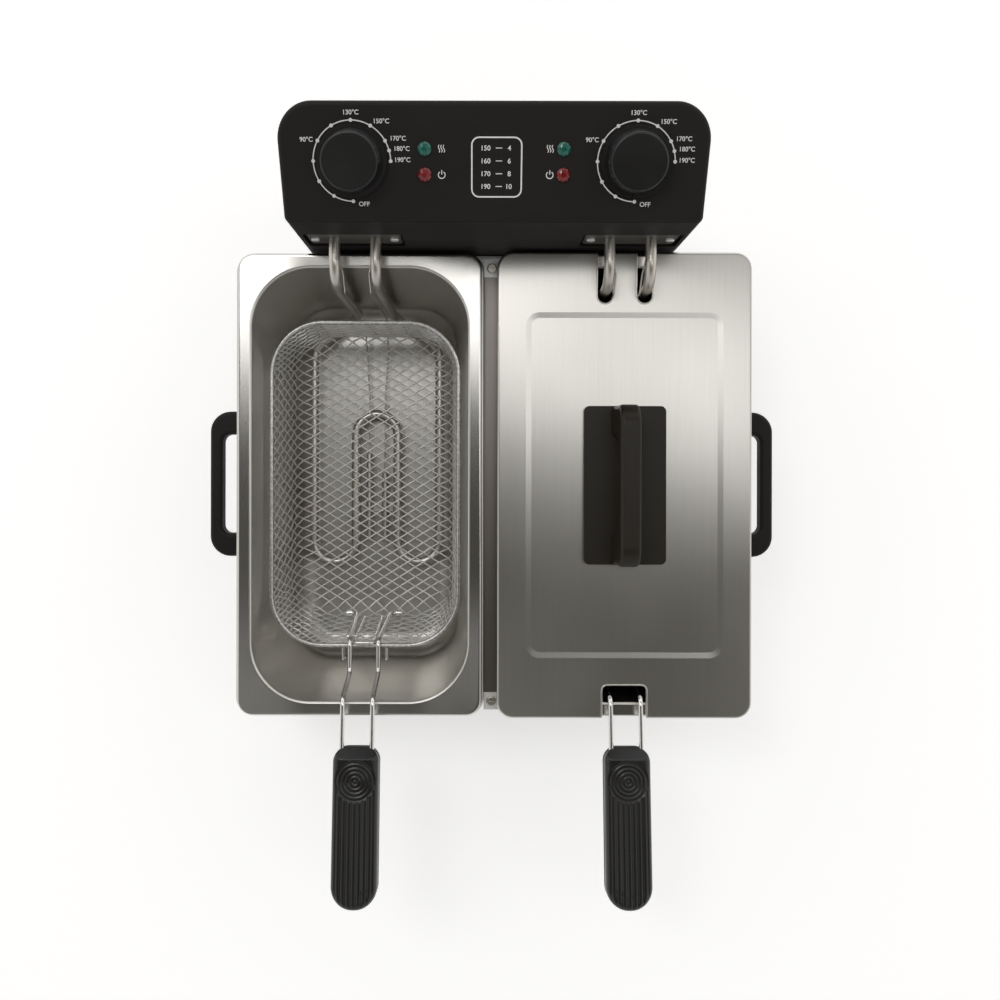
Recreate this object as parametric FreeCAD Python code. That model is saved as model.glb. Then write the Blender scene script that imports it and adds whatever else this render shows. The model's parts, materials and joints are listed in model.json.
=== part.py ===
"""Twin-tank deep fryer.

Two steel housings stand side by side, each with a tank and a mesh basket. One control unit hangs on
the back of both and carries the two heating elements. The right tank has its lid on.

Millimetres, +Z up, +Y to the back. Everything is drawn with Y = 0 at the middle of the tanks, and moved
on export so that the origin lies under the middle of the whole object, on the worktop.
"""
import FreeCAD
import Part
import math
import os
from FreeCAD import Placement, Rotation, Vector

# Steel sheet, tanks and housings
SHEET = 1.0
MOUTH_W = 153.2
MOUTH_L = 307.8
MOUTH_R = 42.0
TANK_DEPTH = 131.0
TANK_DRAFT = 5.0
TANK_BOTTOM_R = 20.0
RIM_LAND = 10.2
RIM_R = 11.0
RIM_DROP = 4.0
RIM_EDGE_R = 1.8
HOUSING_SIDE_MARGIN = 1.7
HOUSING_END_MARGIN = 1.2
HOUSING_R = 13.0
HOUSING_LEDGE = 7.0
HOUSING_GAP = 11.0
TANK_FLOOR_GAP = 9.0

# Base plates and feet
FOOT_H = 7.0
FOOT_R = 9.0
FOOT_TAPER = 1.0
FOOT_INSET = 20.0
BASE_H = 4.0
BASE_LIP_H = 8.0
BASE_LIP_T = 2.0
BASE_FIT = 0.2
VENT_W = 5.0
VENT_L = 70.0
VENT_PITCH = 16.0
VENT_COUNT = 7

# Strip and brackets that join the two housings
STRIP_DROP = 6.0
STRIP_FLANGE = 12.0
STRIP_SETBACK = 16.0
TIE_L = 12.5
TIE_H = 16.0
TIE_SCREW_HEAD_R = 3.6

# Screws
SCREW_R = 1.5
SCREW_HEAD_R = 3.0
SCREW_HEAD_H = 1.8
SCREW_L = 7.0
SCREW_FIT = 0.05
CROSS_W = 0.8

# Side handles
SIDE_HANDLE_L = 107.0
SIDE_HANDLE_REACH = 25.3
SIDE_HANDLE_BAR = 9.0
SIDE_HANDLE_LEG = 17.0
SIDE_HANDLE_H = 13.0
SIDE_HANDLE_R = 15.0
SIDE_HANDLE_INNER_R = 6.0
SIDE_HANDLE_EDGE_R = 3.0
SIDE_HANDLE_DROP = 34.0

# Hanger on the back of the housings
HANGER_T = 1.5
HANGER_W = 240.0
HANGER_H = 40.0
HANGER_GAP = 0.4
HOOK_X = 80.0
HOOK_W = 44.0
HOOK_LIP = 18.0
HOOK_PLAY = 0.5

# Control unit
CONTROL_SIDE_MARGIN = 6.7
CONTROL_FLARE = 2.5
CONTROL_D = 69.4
CONTROL_RISE = 77.0
CONTROL_DROP = 40.0
CONTROL_WALL = 2.5
CONTROL_FRONT_R = 4.0
CONTROL_BACK_R = 22.0
CONTROL_EDGE_R = 3.0
PANEL_TILT = 18.0
TONGUE_W = 36.0
TONGUE_L = 19.0
POCKET_DEPTH = 3.0
POCKET_MARGIN = 2.0
BOSS_MARGIN = 2.5

# Back cover with cord glands and reset buttons
COVER_SIDE_MARGIN = 19.0
COVER_H = 100.0
COVER_T = 2.0
COVER_R = 8.0
COVER_LAP = 8.0
COVER_SCREW_INSET = 4.0
GLAND_X = 30.0
GLAND_RISE = 24.0
GLAND_R = 7.0
GLAND_FLANGE_R = 10.0
GLAND_FLANGE_T = 3.0
GLAND_BORE_R = 3.8
GLAND_L = 16.0
BUTTON_R = 4.0
BUTTON_PROUD = 2.6
BUTTON_TRAVEL = 2.0
BUTTON_FLANGE_R = 5.4
BUTTON_FLANGE_T = 1.5
BUTTON_PLAY = 0.3
BUTTON_RISE = 76.0

# Heating elements
TUBE_R = 3.8
RISER_SPACING = 28.0
RISER_SETBACK = 16.4
TUBE_RISE = 26.0
ELEMENT_FLOOR_GAP = 8.7
ELEMENT_SIDE_GAP = 9.4
ELEMENT_FRONT_SETBACK = 88.0
ELEMENT_MID_SETBACK = 81.0
ELEMENT_DIAGONAL = 27.5
TOP_BEND_R = 16.0
LOW_BEND_R = 14.0
SIDE_BEND_R = 20.0
TUBE_IN_BOX = 20.0
PIN_R = 1.6
PIN_L = 8.0
TUBE_FIT = 0.02
TUBE_CLEAR = 0.5
PLATE_W = 63.0
PLATE_H = 30.0
PLATE_T = 1.5
PLATE_R = 3.0
PLATE_SCREW_SPACING = 54.0

# Sensor bulbs and capillary tubes
BULB_R = 2.5
BULB_FRONT = 17.0
CONTROL_BULB_L = 57.0
CUTOUT_BULB_L = 73.0
BULB_OFFSET = 6.5
CAPILLARY_R = 0.6
CAPILLARY_BEND = 4.0
CAPILLARY_GAP = 0.6
CLIP_T = 1.0
CLIP_L = 8.0
CLIP_OVERHANG = 4.0

# Controls on the panel
KNOB_INSET = 6.0
KNOB_BASE_R = 21.8
KNOB_BASE_H = 4.0
KNOB_STEP = 2.4
KNOB_TOP_R = 17.4
KNOB_H = 16.0
KNOB_EDGE_R = 1.4
KNOB_GAP = 0.5
KNOB_CAVITY_R = 8.0
POINTER_W = 2.6
POINTER_H = 1.0
SPINDLE_R = 3.0
SPINDLE_FIT = 0.05
SPINDLE_IN_KNOB = 11.0
SPINDLE_IN_BODY = 9.0
BUSH_R = 5.0
BUSH_PROUD = 2.0
BUSH_FIT = 0.15
THERMOSTAT_W = 34.0
THERMOSTAT_H = 24.0
LAMP_X = 43.0
LAMP_R = 4.3
LAMP_DOME = 2.6
LAMP_BODY = 16.0
LAMP_FLANGE = 1.0
LAMP_FLANGE_T = 1.2
LAMP_FIT = 0.1
GREEN_OFFSET = 7.2
RED_OFFSET = -8.1

# Other pieces inside the control unit
CUTOUT_W = 26.0
CUTOUT_H = 18.0
CUTOUT_D = 16.0
CUTOUT_SLEEVE_T = 1.6
TERMINAL_W = 56.0
TERMINAL_D = 18.0
TERMINAL_H = 15.0
SWITCH_W = 20.0
SWITCH_D = 10.0
SWITCH_H = 14.0
SWITCH_RISE = 16.0
SWITCH_PIN_R = 1.5
LEAD_R = 1.2
LEAD_BEND = 5.0
LEAD_GAP = 0.2

# Baskets
BASKET_SIDE_GAP = 5.4
BASKET_END_GAP = 32.2
BASKET_R = 40.0
BASKET_H = 80.8
BASKET_ELEMENT_GAP = 0.3
BASKET_DRAFT = 4.5
BASKET_LEAN = 6.0
BASKET_BOTTOM_R = 10.0
MESH_T = 1.6
MESH_FIT = 0.05
RIM_WIRE_R = 1.6
NET_PITCH_X = 12.9
NET_PITCH_Y = 8.0
NET_WIRE = 1.1
NET_BORDER = 2.0
BRACKET_R = 1.2
BRACKET_HALF_W = 7.0
BRACKET_RISE = 6.0
BRACKET_BEND = 3.0
HOOK_STUB_X = 16.0
HOOK_STUB_OUT = 10.0
HOOK_STUB_DOWN = 10.0
WELD_GAP = 0.1

# Basket handles
HANDLE_R = 1.7
HANDLE_SPACING = 21.0
HANDLE_FLARE = 3.0
HANDLE_TIP = 9.0
HANDLE_TIP_BEND = 4.0
HANDLE_BEND = 6.0
HANDLE_RIM_GAP = 1.0
HINGE_RISE = 15.4
EYE_T = 1.5
EYE_L = 4.0
EYE_FIT = 0.1
KINK_OUT = 18.0
KINK_SETBACK = 3.4
HANDLE_RIM_RISE = 8.0
GRIP_SLOPE = 7.0
GRIP_START = 32.0
GRIP_W = 32.0
GRIP_L = 108.0
GRIP_T = 17.0
GRIP_EDGE_R = 3.0
GRIP_HEAD_R = 10.0
GRIP_END_R = 15.5
GRIP_WIRE_IN = 55.0
GRIP_WIRE_FIT = 0.05
RIB_COUNT = 7
RIB_PITCH = 3.6
RIB_GROOVE_R = 0.9
RIB_START = 44.0
RIB_END = 14.0
RING_CENTRE = 22.0
RING_COUNT = 4
RING_PITCH = 3.0
RING_GROOVE_R = 0.6

# Lid and its handle
LID_GAP = 0.3
LID_SIDE_LAP = 3.5
LID_END_LAP = 1.3
LID_SKIRT = 2.5
LID_R = 11.5
LID_EDGE_R = 1.8
FIELD_W = 140.0
FIELD_L = 245.0
FIELD_R = 10.0
FIELD_DROP = 0.4
FIELD_SLOPE = 4.0
SLOT_CLEAR = 1.9
SLOT_FRONT_CLEAR = 5.0
NOTCH_W = 32.0
NOTCH_CLEAR = 9.0
NOTCH_R = 4.0
LID_HANDLE_W = 58.0
LID_HANDLE_L = 112.0
LID_HANDLE_PLATE = 3.0
LID_HANDLE_PLATE_R = 4.0
LID_HANDLE_H = 30.0
LID_BAR_W = 14.0
LID_BAR_T = 11.0
LID_LEG_L = 22.0
LID_LEG_W = 21.0
LID_SHOULDER_R = 14.0
LID_FINGER_R = 9.0
LID_BAR_EDGE_R = 2.5

# Sizes worked out from those above
rim_w = MOUTH_W + 2 * RIM_LAND
rim_l = MOUTH_L + 2 * RIM_LAND
housing_w = rim_w + 2 * HOUSING_SIDE_MARGIN
housing_l = rim_l + 2 * HOUSING_END_MARGIN
tank_x = (housing_w + HOUSING_GAP) / 2
base_z = FOOT_H + BASE_H
floor_z = base_z + TANK_FLOOR_GAP + SHEET
rim_z = floor_z + TANK_DEPTH
ledge_z = rim_z - RIM_DROP
side_handle_z = rim_z - SIDE_HANDLE_DROP
strip_z = ledge_z - STRIP_DROP
strip_half_l = housing_l / 2 - STRIP_SETBACK

control_front = housing_l / 2 + HANGER_T + HANGER_GAP
control_back = control_front + CONTROL_D
control_front_w = 2 * tank_x + PLATE_W + 2 * CONTROL_SIDE_MARGIN
control_back_w = control_front_w + 2 * CONTROL_FLARE
control_bottom = rim_z - CONTROL_DROP
control_top = rim_z + CONTROL_RISE
tongue_foot = control_bottom - TONGUE_L
tilt = math.radians(PANEL_TILT)
panel_mid = CONTROL_D / math.cos(tilt) / 2
knob_x = tank_x - KNOB_INSET
cover_w = 2 * (tank_x + COVER_SIDE_MARGIN)
cover_z = control_bottom + COVER_H / 2
button_z = control_bottom + BUTTON_RISE
button_face = control_back + COVER_T + BUTTON_PROUD
flange_back = control_back - BUTTON_PLAY
cutout_back = flange_back - BUTTON_FLANGE_T - BUTTON_TRAVEL - BUTTON_PLAY
gland_z = control_bottom + GLAND_RISE

tube_z = rim_z + TUBE_RISE
element_z = floor_z + ELEMENT_FLOOR_GAP + TUBE_R
riser_x = RISER_SPACING / 2
riser_y = MOUTH_L / 2 - RISER_SETBACK
plate_back = control_front + POCKET_DEPTH
pocket_w = PLATE_W + 2 * POCKET_MARGIN
pocket_h = PLATE_H + 2 * POCKET_MARGIN
boss_back = plate_back + CONTROL_WALL
tube_end = boss_back + TUBE_IN_BOX
capillary_z = tube_z - TUBE_R - CAPILLARY_R - CAPILLARY_GAP

basket_w = MOUTH_W - 2 * BASKET_SIDE_GAP
basket_l = MOUTH_L - 2 * BASKET_END_GAP
basket_floor_z = element_z + TUBE_R + BASKET_ELEMENT_GAP
basket_rim_z = basket_floor_z + BASKET_H
mesh_top = basket_rim_z - RIM_WIRE_R - MESH_FIT
mesh_depth = mesh_top - basket_floor_z - MESH_T
mesh_lean = BASKET_LEAN / mesh_depth
mesh_w = basket_w - 2 * RIM_WIRE_R - MESH_T
mesh_l = basket_l - 2 * RIM_WIRE_R - MESH_T
mesh_r = BASKET_R - RIM_WIRE_R - MESH_T / 2

hinge_z = basket_floor_z + HINGE_RISE
eye_r = HANDLE_R + EYE_FIT + EYE_T
leg_x = HANDLE_SPACING / 2
kink_z = rim_z + HANDLE_RIM_RISE
kink_y = -(MOUTH_L / 2 - KINK_SETBACK)
slope = math.radians(GRIP_SLOPE)
grip_reach = GRIP_START + GRIP_L - GRIP_EDGE_R
grip_tip_lean = (GRIP_T / 2 - GRIP_EDGE_R) * math.sin(slope) + GRIP_EDGE_R
grip_tip_y = kink_y - grip_reach * math.cos(slope) - grip_tip_lean

lid_z = rim_z + LID_GAP
lid_top = lid_z + SHEET
lid_w = rim_w + 2 * LID_SIDE_LAP
lid_l = rim_l + 2 * LID_END_LAP
field_z = lid_top - FIELD_DROP
slot_w = 2 * (TUBE_R + SLOT_CLEAR)
slot_front = riser_y - TUBE_R - SLOT_FRONT_CLEAR
notch_back = kink_y + NOTCH_CLEAR

# The footprint runs from the grip tips to what stands out of the back cover, and its middle is the origin
back_most = control_back + COVER_T + max(BUTTON_PROUD, GLAND_FLANGE_T, SCREW_HEAD_H)
origin_shift = -(grip_tip_y + back_most) / 2

X = Vector(1, 0, 0)
Y = Vector(0, 1, 0)
Z = Vector(0, 0, 1)
LEFT = -1
RIGHT = 1
SIDES = {"left": LEFT, "right": RIGHT}


def corner_arc(before, corner, after, radius):
    """Start, middle and end of the arc that rounds a corner."""
    back = (before - corner).normalize()
    ahead = (after - corner).normalize()
    half = back.getAngle(ahead) / 2
    reach = radius / math.tan(half)
    middle = (back + ahead).normalize()
    to_arc = radius / math.sin(half) - radius
    return corner + back * reach, corner + middle * to_arc, corner + ahead * reach


def joined_edges(stops):
    """Lines between the stops, and an arc through each stop of three points."""
    edges = []
    for here, following in zip(stops, stops[1:]):
        if len(here) == 3:
            edges.append(Part.Arc(*here).toShape())
        if here[-1].distanceToPoint(following[0]) > 1e-6:
            edges.append(Part.LineSegment(here[-1], following[0]).toShape())
    return edges


def bent_path(points, radii):
    """An open path of straight runs, with each inner corner rounded."""
    stops = [(points[0],)]
    for before, corner, after, radius in zip(points, points[1:], points[2:], radii):
        stops.append(corner_arc(before, corner, after, radius))
    stops.append((points[-1],))
    return Part.Wire(joined_edges(stops))


def rounded_polygon(corners, radii):
    """A closed outline with each corner rounded."""
    stops = []
    for index, corner in enumerate(corners):
        before = corners[index - 1]
        after = corners[(index + 1) % len(corners)]
        stops.append(corner_arc(before, corner, after, radii[index]))
    return Part.Wire(joined_edges(stops + stops[:1]))


def rounded_rectangle(width, length, radius, z):
    """A rounded rectangle about the Z axis, at height z."""
    half_w = width / 2
    half_l = length / 2
    corners = [Vector(-half_w, -half_l, z), Vector(half_w, -half_l, z),
               Vector(half_w, half_l, z), Vector(-half_w, half_l, z)]
    return rounded_polygon(corners, [radius] * len(corners))


def block(width, length, radius, bottom, top):
    """An upright block with a rounded plan, about the Z axis."""
    return Part.Face(rounded_rectangle(width, length, radius, bottom)).extrude(Z * (top - bottom))


def box(x, y, z):
    """A box between pairs of limits along X, Y and Z."""
    return Part.makeBox(x[1] - x[0], y[1] - y[0], z[1] - z[0], Vector(x[0], y[0], z[0]))


def edges_at(shape, z):
    """Edges that lie wholly at height z."""
    return [e for e in shape.Edges if abs(e.BoundBox.ZMin - z) < 1e-4 and abs(e.BoundBox.ZMax - z) < 1e-4]


def tube(points, bend, radius):
    """A round rod along a bent path. The bend is one radius, or one for each inner point."""
    radii = bend if isinstance(bend, list) else [bend] * (len(points) - 2)
    section = Part.Wire(Part.Circle(points[0], points[1] - points[0], radius).toShape())
    return bent_path(points, radii).makePipeShell([section], True, False)


def moved(shape, x=0.0, y=0.0, z=0.0):
    """A copy moved along the axes."""
    copy = shape.copy()
    copy.translate(Vector(x, y, z))
    return copy


def mirrored(shape):
    """The same shape on the other side of X = 0."""
    return shape.mirror(Vector(0, 0, 0), X)


def on_side(shape, side):
    """A shape drawn for the right side, put on the given side."""
    return shape if side == RIGHT else mirrored(shape)


def panel_point(x, along, lift=0.0):
    """A point of the sloped panel, by the distance up its slope and the height above it."""
    y = control_front + along * math.cos(tilt) - lift * math.sin(tilt)
    z = control_top + along * math.sin(tilt) + lift * math.cos(tilt)
    return Vector(x, y, z)


def on_panel(shape, x, along):
    """A shape drawn about the Z axis, set square on the panel."""
    copy = shape.copy()
    copy.Placement = Placement(panel_point(x, along), Rotation(X, PANEL_TILT))
    return copy


def screw(head_r, length):
    """A pan head screw. Its seat is at Z = 0, with the head above."""
    head = Part.makeCylinder(head_r, SCREW_HEAD_H)
    head = head.makeFillet(SCREW_HEAD_H / 2, edges_at(head, SCREW_HEAD_H))
    half = head_r * 0.6
    depth = (SCREW_HEAD_H / 2, SCREW_HEAD_H)
    for x, y in ((half, CROSS_W / 2), (CROSS_W / 2, half)):
        head = head.cut(box((-x, x), (-y, y), depth))
    return head.fuse(Part.makeCylinder(SCREW_R, length, Vector(0, 0, -length))).removeSplitter()


def turned(shape, axis, degrees, place):
    """A copy turned about an axis and put at a place."""
    copy = shape.copy()
    copy.Placement = Placement(place, Rotation(axis, degrees))
    return copy


def screw_hole(place, direction, length):
    """Clearance hole of a screw."""
    return Part.makeCylinder(SCREW_R + SCREW_FIT, length, place, direction)


def tub_profile(depth, draft, bottom_r, offset):
    """Points down a tub's side as (inset, depth): a drafted wall, then a rounded bottom edge."""
    steps = 6
    lean = math.radians(draft)
    arc_start = depth - bottom_r * (1 - math.sin(lean))
    centre_inset = arc_start * math.tan(lean) + bottom_r * math.cos(lean)
    centre_depth = arc_start - bottom_r * math.sin(lean)
    points = [(-offset / math.cos(lean), 0.0)]
    for step in range(steps + 1):
        angle = lean + (math.pi / 2 - lean) * step / steps
        points.append((centre_inset - (bottom_r + offset) * math.cos(angle),
                       centre_depth + (bottom_r + offset) * math.sin(angle)))
    return points


def inset_at(profile, depth):
    """Inset of a tub's side at a depth."""
    for (inset_a, depth_a), (inset_b, depth_b) in zip(profile, profile[1:]):
        if depth <= depth_b:
            return inset_a + (inset_b - inset_a) * (depth - depth_a) / (depth_b - depth_a)
    return profile[-1][0]


def tub_solid(width, length, radius, top, profile, lean=0.0):
    """The filled shape of a tub, from its mouth down to its floor, set back by lean times its depth."""
    rings = []
    for inset, depth in profile:
        ring = rounded_rectangle(width - 2 * inset, length - 2 * inset, radius - inset, top - depth)
        rings.append(moved(ring, 0.0, lean * depth))
    return Part.makeLoft(rings, True, True)


tank_inside = tub_profile(TANK_DEPTH, TANK_DRAFT, TANK_BOTTOM_R, 0.0)
tank_outside = tub_profile(TANK_DEPTH, TANK_DRAFT, TANK_BOTTOM_R, SHEET)
mesh_inside = tub_profile(mesh_depth, BASKET_DRAFT, BASKET_BOTTOM_R, 0.0)
mesh_outside = tub_profile(mesh_depth, BASKET_DRAFT, BASKET_BOTTOM_R, MESH_T)
element_half = MOUTH_W / 2 - inset_at(tank_inside, rim_z - element_z) - ELEMENT_SIDE_GAP - TUBE_R
leg_pitch = 2 * element_half / 3
element_front = -(MOUTH_L / 2 - ELEMENT_FRONT_SETBACK)
element_mid = riser_y - ELEMENT_MID_SETBACK
bulb_z = element_z - TUBE_R + BULB_R
bulb_front = element_front + BULB_FRONT


def mesh_wall_y(z):
    """Distance from the middle of the basket to the inside of its front wall, at height z."""
    depth = mesh_top - z
    return mesh_l / 2 - inset_at(mesh_inside, depth) - mesh_lean * depth


front_draft = math.atan(math.tan(math.radians(BASKET_DRAFT)) + mesh_lean)
hinge_y = -(mesh_wall_y(hinge_z) - (eye_r + WELD_GAP) / math.cos(front_draft))


def tank():
    """Drawn sheet tank with a flat rim and a turned-down edge."""
    rim = block(rim_w, rim_l, RIM_R, ledge_z, rim_z)
    rim = rim.makeFillet(RIM_EDGE_R, edges_at(rim, rim_z))
    rim = rim.cut(block(rim_w - 2 * SHEET, rim_l - 2 * SHEET, RIM_R - SHEET, ledge_z, rim_z - SHEET))
    shell = rim.fuse(tub_solid(MOUTH_W, MOUTH_L, MOUTH_R, rim_z, tank_outside))
    return shell.cut(tub_solid(MOUTH_W, MOUTH_L, MOUTH_R, rim_z, tank_inside)).removeSplitter()


def side_handle_screw_places():
    """Inner ends of the screws of the right side handle, on the inside of the housing wall."""
    wall_in = tank_x + housing_w / 2 - SHEET
    leg_y = (SIDE_HANDLE_L - SIDE_HANDLE_LEG) / 2
    return [Vector(wall_in, y, side_handle_z) for y in (-leg_y, leg_y)]


def housing(side):
    """Open sheet housing with a ledge at the top for the tank rim."""
    outer = block(housing_w, housing_l, HOUSING_R, base_z, ledge_z)
    outer = outer.makeFillet(RIM_EDGE_R, edges_at(outer, ledge_z))
    inside = block(housing_w - 2 * SHEET, housing_l - 2 * SHEET, HOUSING_R - SHEET, base_z, ledge_z - SHEET)
    opening = block(housing_w - 2 * HOUSING_LEDGE, housing_l - 2 * HOUSING_LEDGE,
                    HOUSING_R - HOUSING_LEDGE, base_z, ledge_z)
    shell = moved(outer.cut(inside).cut(opening), tank_x)
    for place in side_handle_screw_places():
        shell = shell.cut(screw_hole(place, X, SHEET))
    return on_side(shell, side)


def base(side):
    """Plastic base plate with a lip inside the housing and a row of vents."""
    fit = SHEET + BASE_FIT
    plate = block(housing_w, housing_l, HOUSING_R, FOOT_H, base_z)
    lip = block(housing_w - 2 * fit, housing_l - 2 * fit, HOUSING_R - fit, base_z, base_z + BASE_LIP_H)
    inner = fit + BASE_LIP_T
    lip = lip.cut(block(housing_w - 2 * inner, housing_l - 2 * inner, HOUSING_R - inner,
                        base_z, base_z + BASE_LIP_H))
    shape = plate.fuse(lip)
    for index in range(VENT_COUNT):
        y = (index - (VENT_COUNT - 1) / 2) * VENT_PITCH
        shape = shape.cut(moved(block(VENT_L, VENT_W, VENT_W / 2.01, FOOT_H, base_z), 0, y))
    return moved(shape.removeSplitter(), side * tank_x)


def rubber_feet():
    """Four tapered feet under each base plate."""
    feet = []
    for side in SIDES.values():
        for x in (-1, 1):
            for y in (-1, 1):
                across = side * tank_x + x * (housing_w / 2 - FOOT_INSET)
                place = Vector(across, y * (housing_l / 2 - FOOT_INSET), 0)
                feet.append(Part.makeCone(FOOT_R - FOOT_TAPER, FOOT_R, FOOT_H, place))
    return feet


def joining_strip():
    """Channel that closes the gap between the housings."""
    half = HOUSING_GAP / 2
    along = (-strip_half_l, strip_half_l)
    channel = box((-half, half), along, (strip_z - STRIP_FLANGE, strip_z))
    inside = half - SHEET
    return channel.cut(box((-inside, inside), along, (strip_z - STRIP_FLANGE, strip_z - SHEET)))


def tie_screw_places():
    """Middles of the brackets at the ends of the joining strip."""
    return [Vector(0, end * (strip_half_l + TIE_L / 2), strip_z) for end in (-1, 1)]


def tie_brackets():
    """Brackets between the housings at both ends of the strip."""
    half = HOUSING_GAP / 2
    brackets = []
    for place in tie_screw_places():
        along = (place.y - TIE_L / 2, place.y + TIE_L / 2)
        body = box((-half, half), along, (strip_z - TIE_H, strip_z))
        brackets.append(body.cut(screw_hole(place, -Z, TIE_H)))
    return brackets


def tie_screws():
    """Screws of the brackets."""
    one = screw(TIE_SCREW_HEAD_R, TIE_H)
    return [moved(one, place.x, place.y, place.z) for place in tie_screw_places()]


def side_handle(side):
    """Loop handle bolted to the outer wall of a housing."""
    root = tank_x + housing_w / 2
    reach = root + SIDE_HANDLE_REACH
    half = SIDE_HANDLE_L / 2
    low = side_handle_z - SIDE_HANDLE_H / 2
    tiny = SIDE_HANDLE_EDGE_R / 10
    corners = [Vector(root, -half, low), Vector(reach, -half, low),
               Vector(reach, half, low), Vector(root, half, low)]
    outer = Part.Face(rounded_polygon(corners, [tiny, SIDE_HANDLE_R, SIDE_HANDLE_R, tiny]))
    outer = outer.extrude(Z * SIDE_HANDLE_H)
    inner_half = half - SIDE_HANDLE_LEG
    inner_reach = reach - SIDE_HANDLE_BAR
    behind = root - SIDE_HANDLE_INNER_R * 2
    corners = [Vector(behind, -inner_half, low), Vector(inner_reach, -inner_half, low),
               Vector(inner_reach, inner_half, low), Vector(behind, inner_half, low)]
    inner = Part.Face(rounded_polygon(corners, [SIDE_HANDLE_INNER_R] * 4)).extrude(Z * SIDE_HANDLE_H)
    loop = outer.cut(inner)
    rims = edges_at(loop, low) + edges_at(loop, low + SIDE_HANDLE_H)
    loop = loop.makeFillet(SIDE_HANDLE_EDGE_R, [e for e in rims if e.BoundBox.XMax > root + tiny * 2])
    for place in side_handle_screw_places():
        loop = loop.cut(screw_hole(place, X, SHEET + SCREW_L))
    return on_side(loop, side)


def side_handle_screws():
    """Screws from inside the housings into the side handles."""
    made = [turned(screw(SCREW_HEAD_R, SCREW_L), Y, -90, place) for place in side_handle_screw_places()]
    return made + [mirrored(one) for one in made]


def rear_hanger():
    """Plate across both housings, with two hooks that the control unit's tongues drop into."""
    wall = housing_l / 2
    shelf_top = tongue_foot - LEAD_GAP
    shelf = (shelf_top - HANGER_T, shelf_top)
    plate = box((-HANGER_W / 2, HANGER_W / 2), (wall, wall + HANGER_T), (shelf[0], shelf[0] + HANGER_H))
    lip_front = control_front + CONTROL_WALL + HOOK_PLAY
    for side in SIDES.values():
        across = (side * HOOK_X - HOOK_W / 2, side * HOOK_X + HOOK_W / 2)
        plate = plate.fuse(box(across, (wall, lip_front + HANGER_T), shelf))
        lip = (shelf[0], shelf_top + HOOK_LIP)
        plate = plate.fuse(box(across, (lip_front, lip_front + HANGER_T), lip))
    return plate.removeSplitter()


def control_block(wall):
    """Filled shape of the control unit, drawn in by a wall thickness."""
    front = control_front + wall
    back = control_back - wall
    corners = [Vector(-control_front_w / 2 + wall, front, control_bottom + wall),
               Vector(control_front_w / 2 - wall, front, control_bottom + wall),
               Vector(control_back_w / 2 - wall, back, control_bottom + wall),
               Vector(-control_back_w / 2 + wall, back, control_bottom + wall)]
    radii = [CONTROL_FRONT_R - wall, CONTROL_FRONT_R - wall, CONTROL_BACK_R - wall, CONTROL_BACK_R - wall]
    height = CONTROL_RISE + CONTROL_DROP + CONTROL_D
    solid = Part.Face(rounded_polygon(corners, radii)).extrude(Z * height)
    above = box((-control_back_w, control_back_w), (-CONTROL_D, 3 * CONTROL_D), (-wall, height))
    return solid.cut(on_panel(above, 0, 0))


def slope_edges(shape):
    """Edges of the sloped top face."""
    normal = Vector(0, -math.sin(tilt), math.cos(tilt))
    top = max(shape.Faces, key=lambda face: face.normalAt(0, 0).dot(normal))
    return top.Edges


def plate_screw_places():
    """Seats of the element plate screws, on the plates' front faces."""
    half = PLATE_SCREW_SPACING / 2
    front = plate_back - PLATE_T
    return [Vector(side * tank_x + x, front, tube_z) for side in SIDES.values() for x in (-half, half)]


def cover_screw_places():
    """Seats of the back cover's screws."""
    x = cover_w / 2 - COVER_SCREW_INSET
    z = COVER_H / 2 - COVER_SCREW_INSET
    back = control_back + COVER_T
    return [Vector(a * x, back, cover_z + b * z) for a in (-1, 1) for b in (-1, 1)]


def lamp_places():
    """Middle of each lamp on the panel, by name."""
    places = {}
    for name, side in SIDES.items():
        places[name + "_ready_lamp"] = (side * LAMP_X, panel_mid + GREEN_OFFSET)
        places[name + "_power_lamp"] = (side * LAMP_X, panel_mid + RED_OFFSET)
    return places


def upright_block(width, height, radius, x, z, front, back):
    """A rounded block that stands on edge, between two places along Y."""
    flat = block(width, height, radius, 0, back - front)
    return turned(flat, X, 90, Vector(x, back, z))


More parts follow.
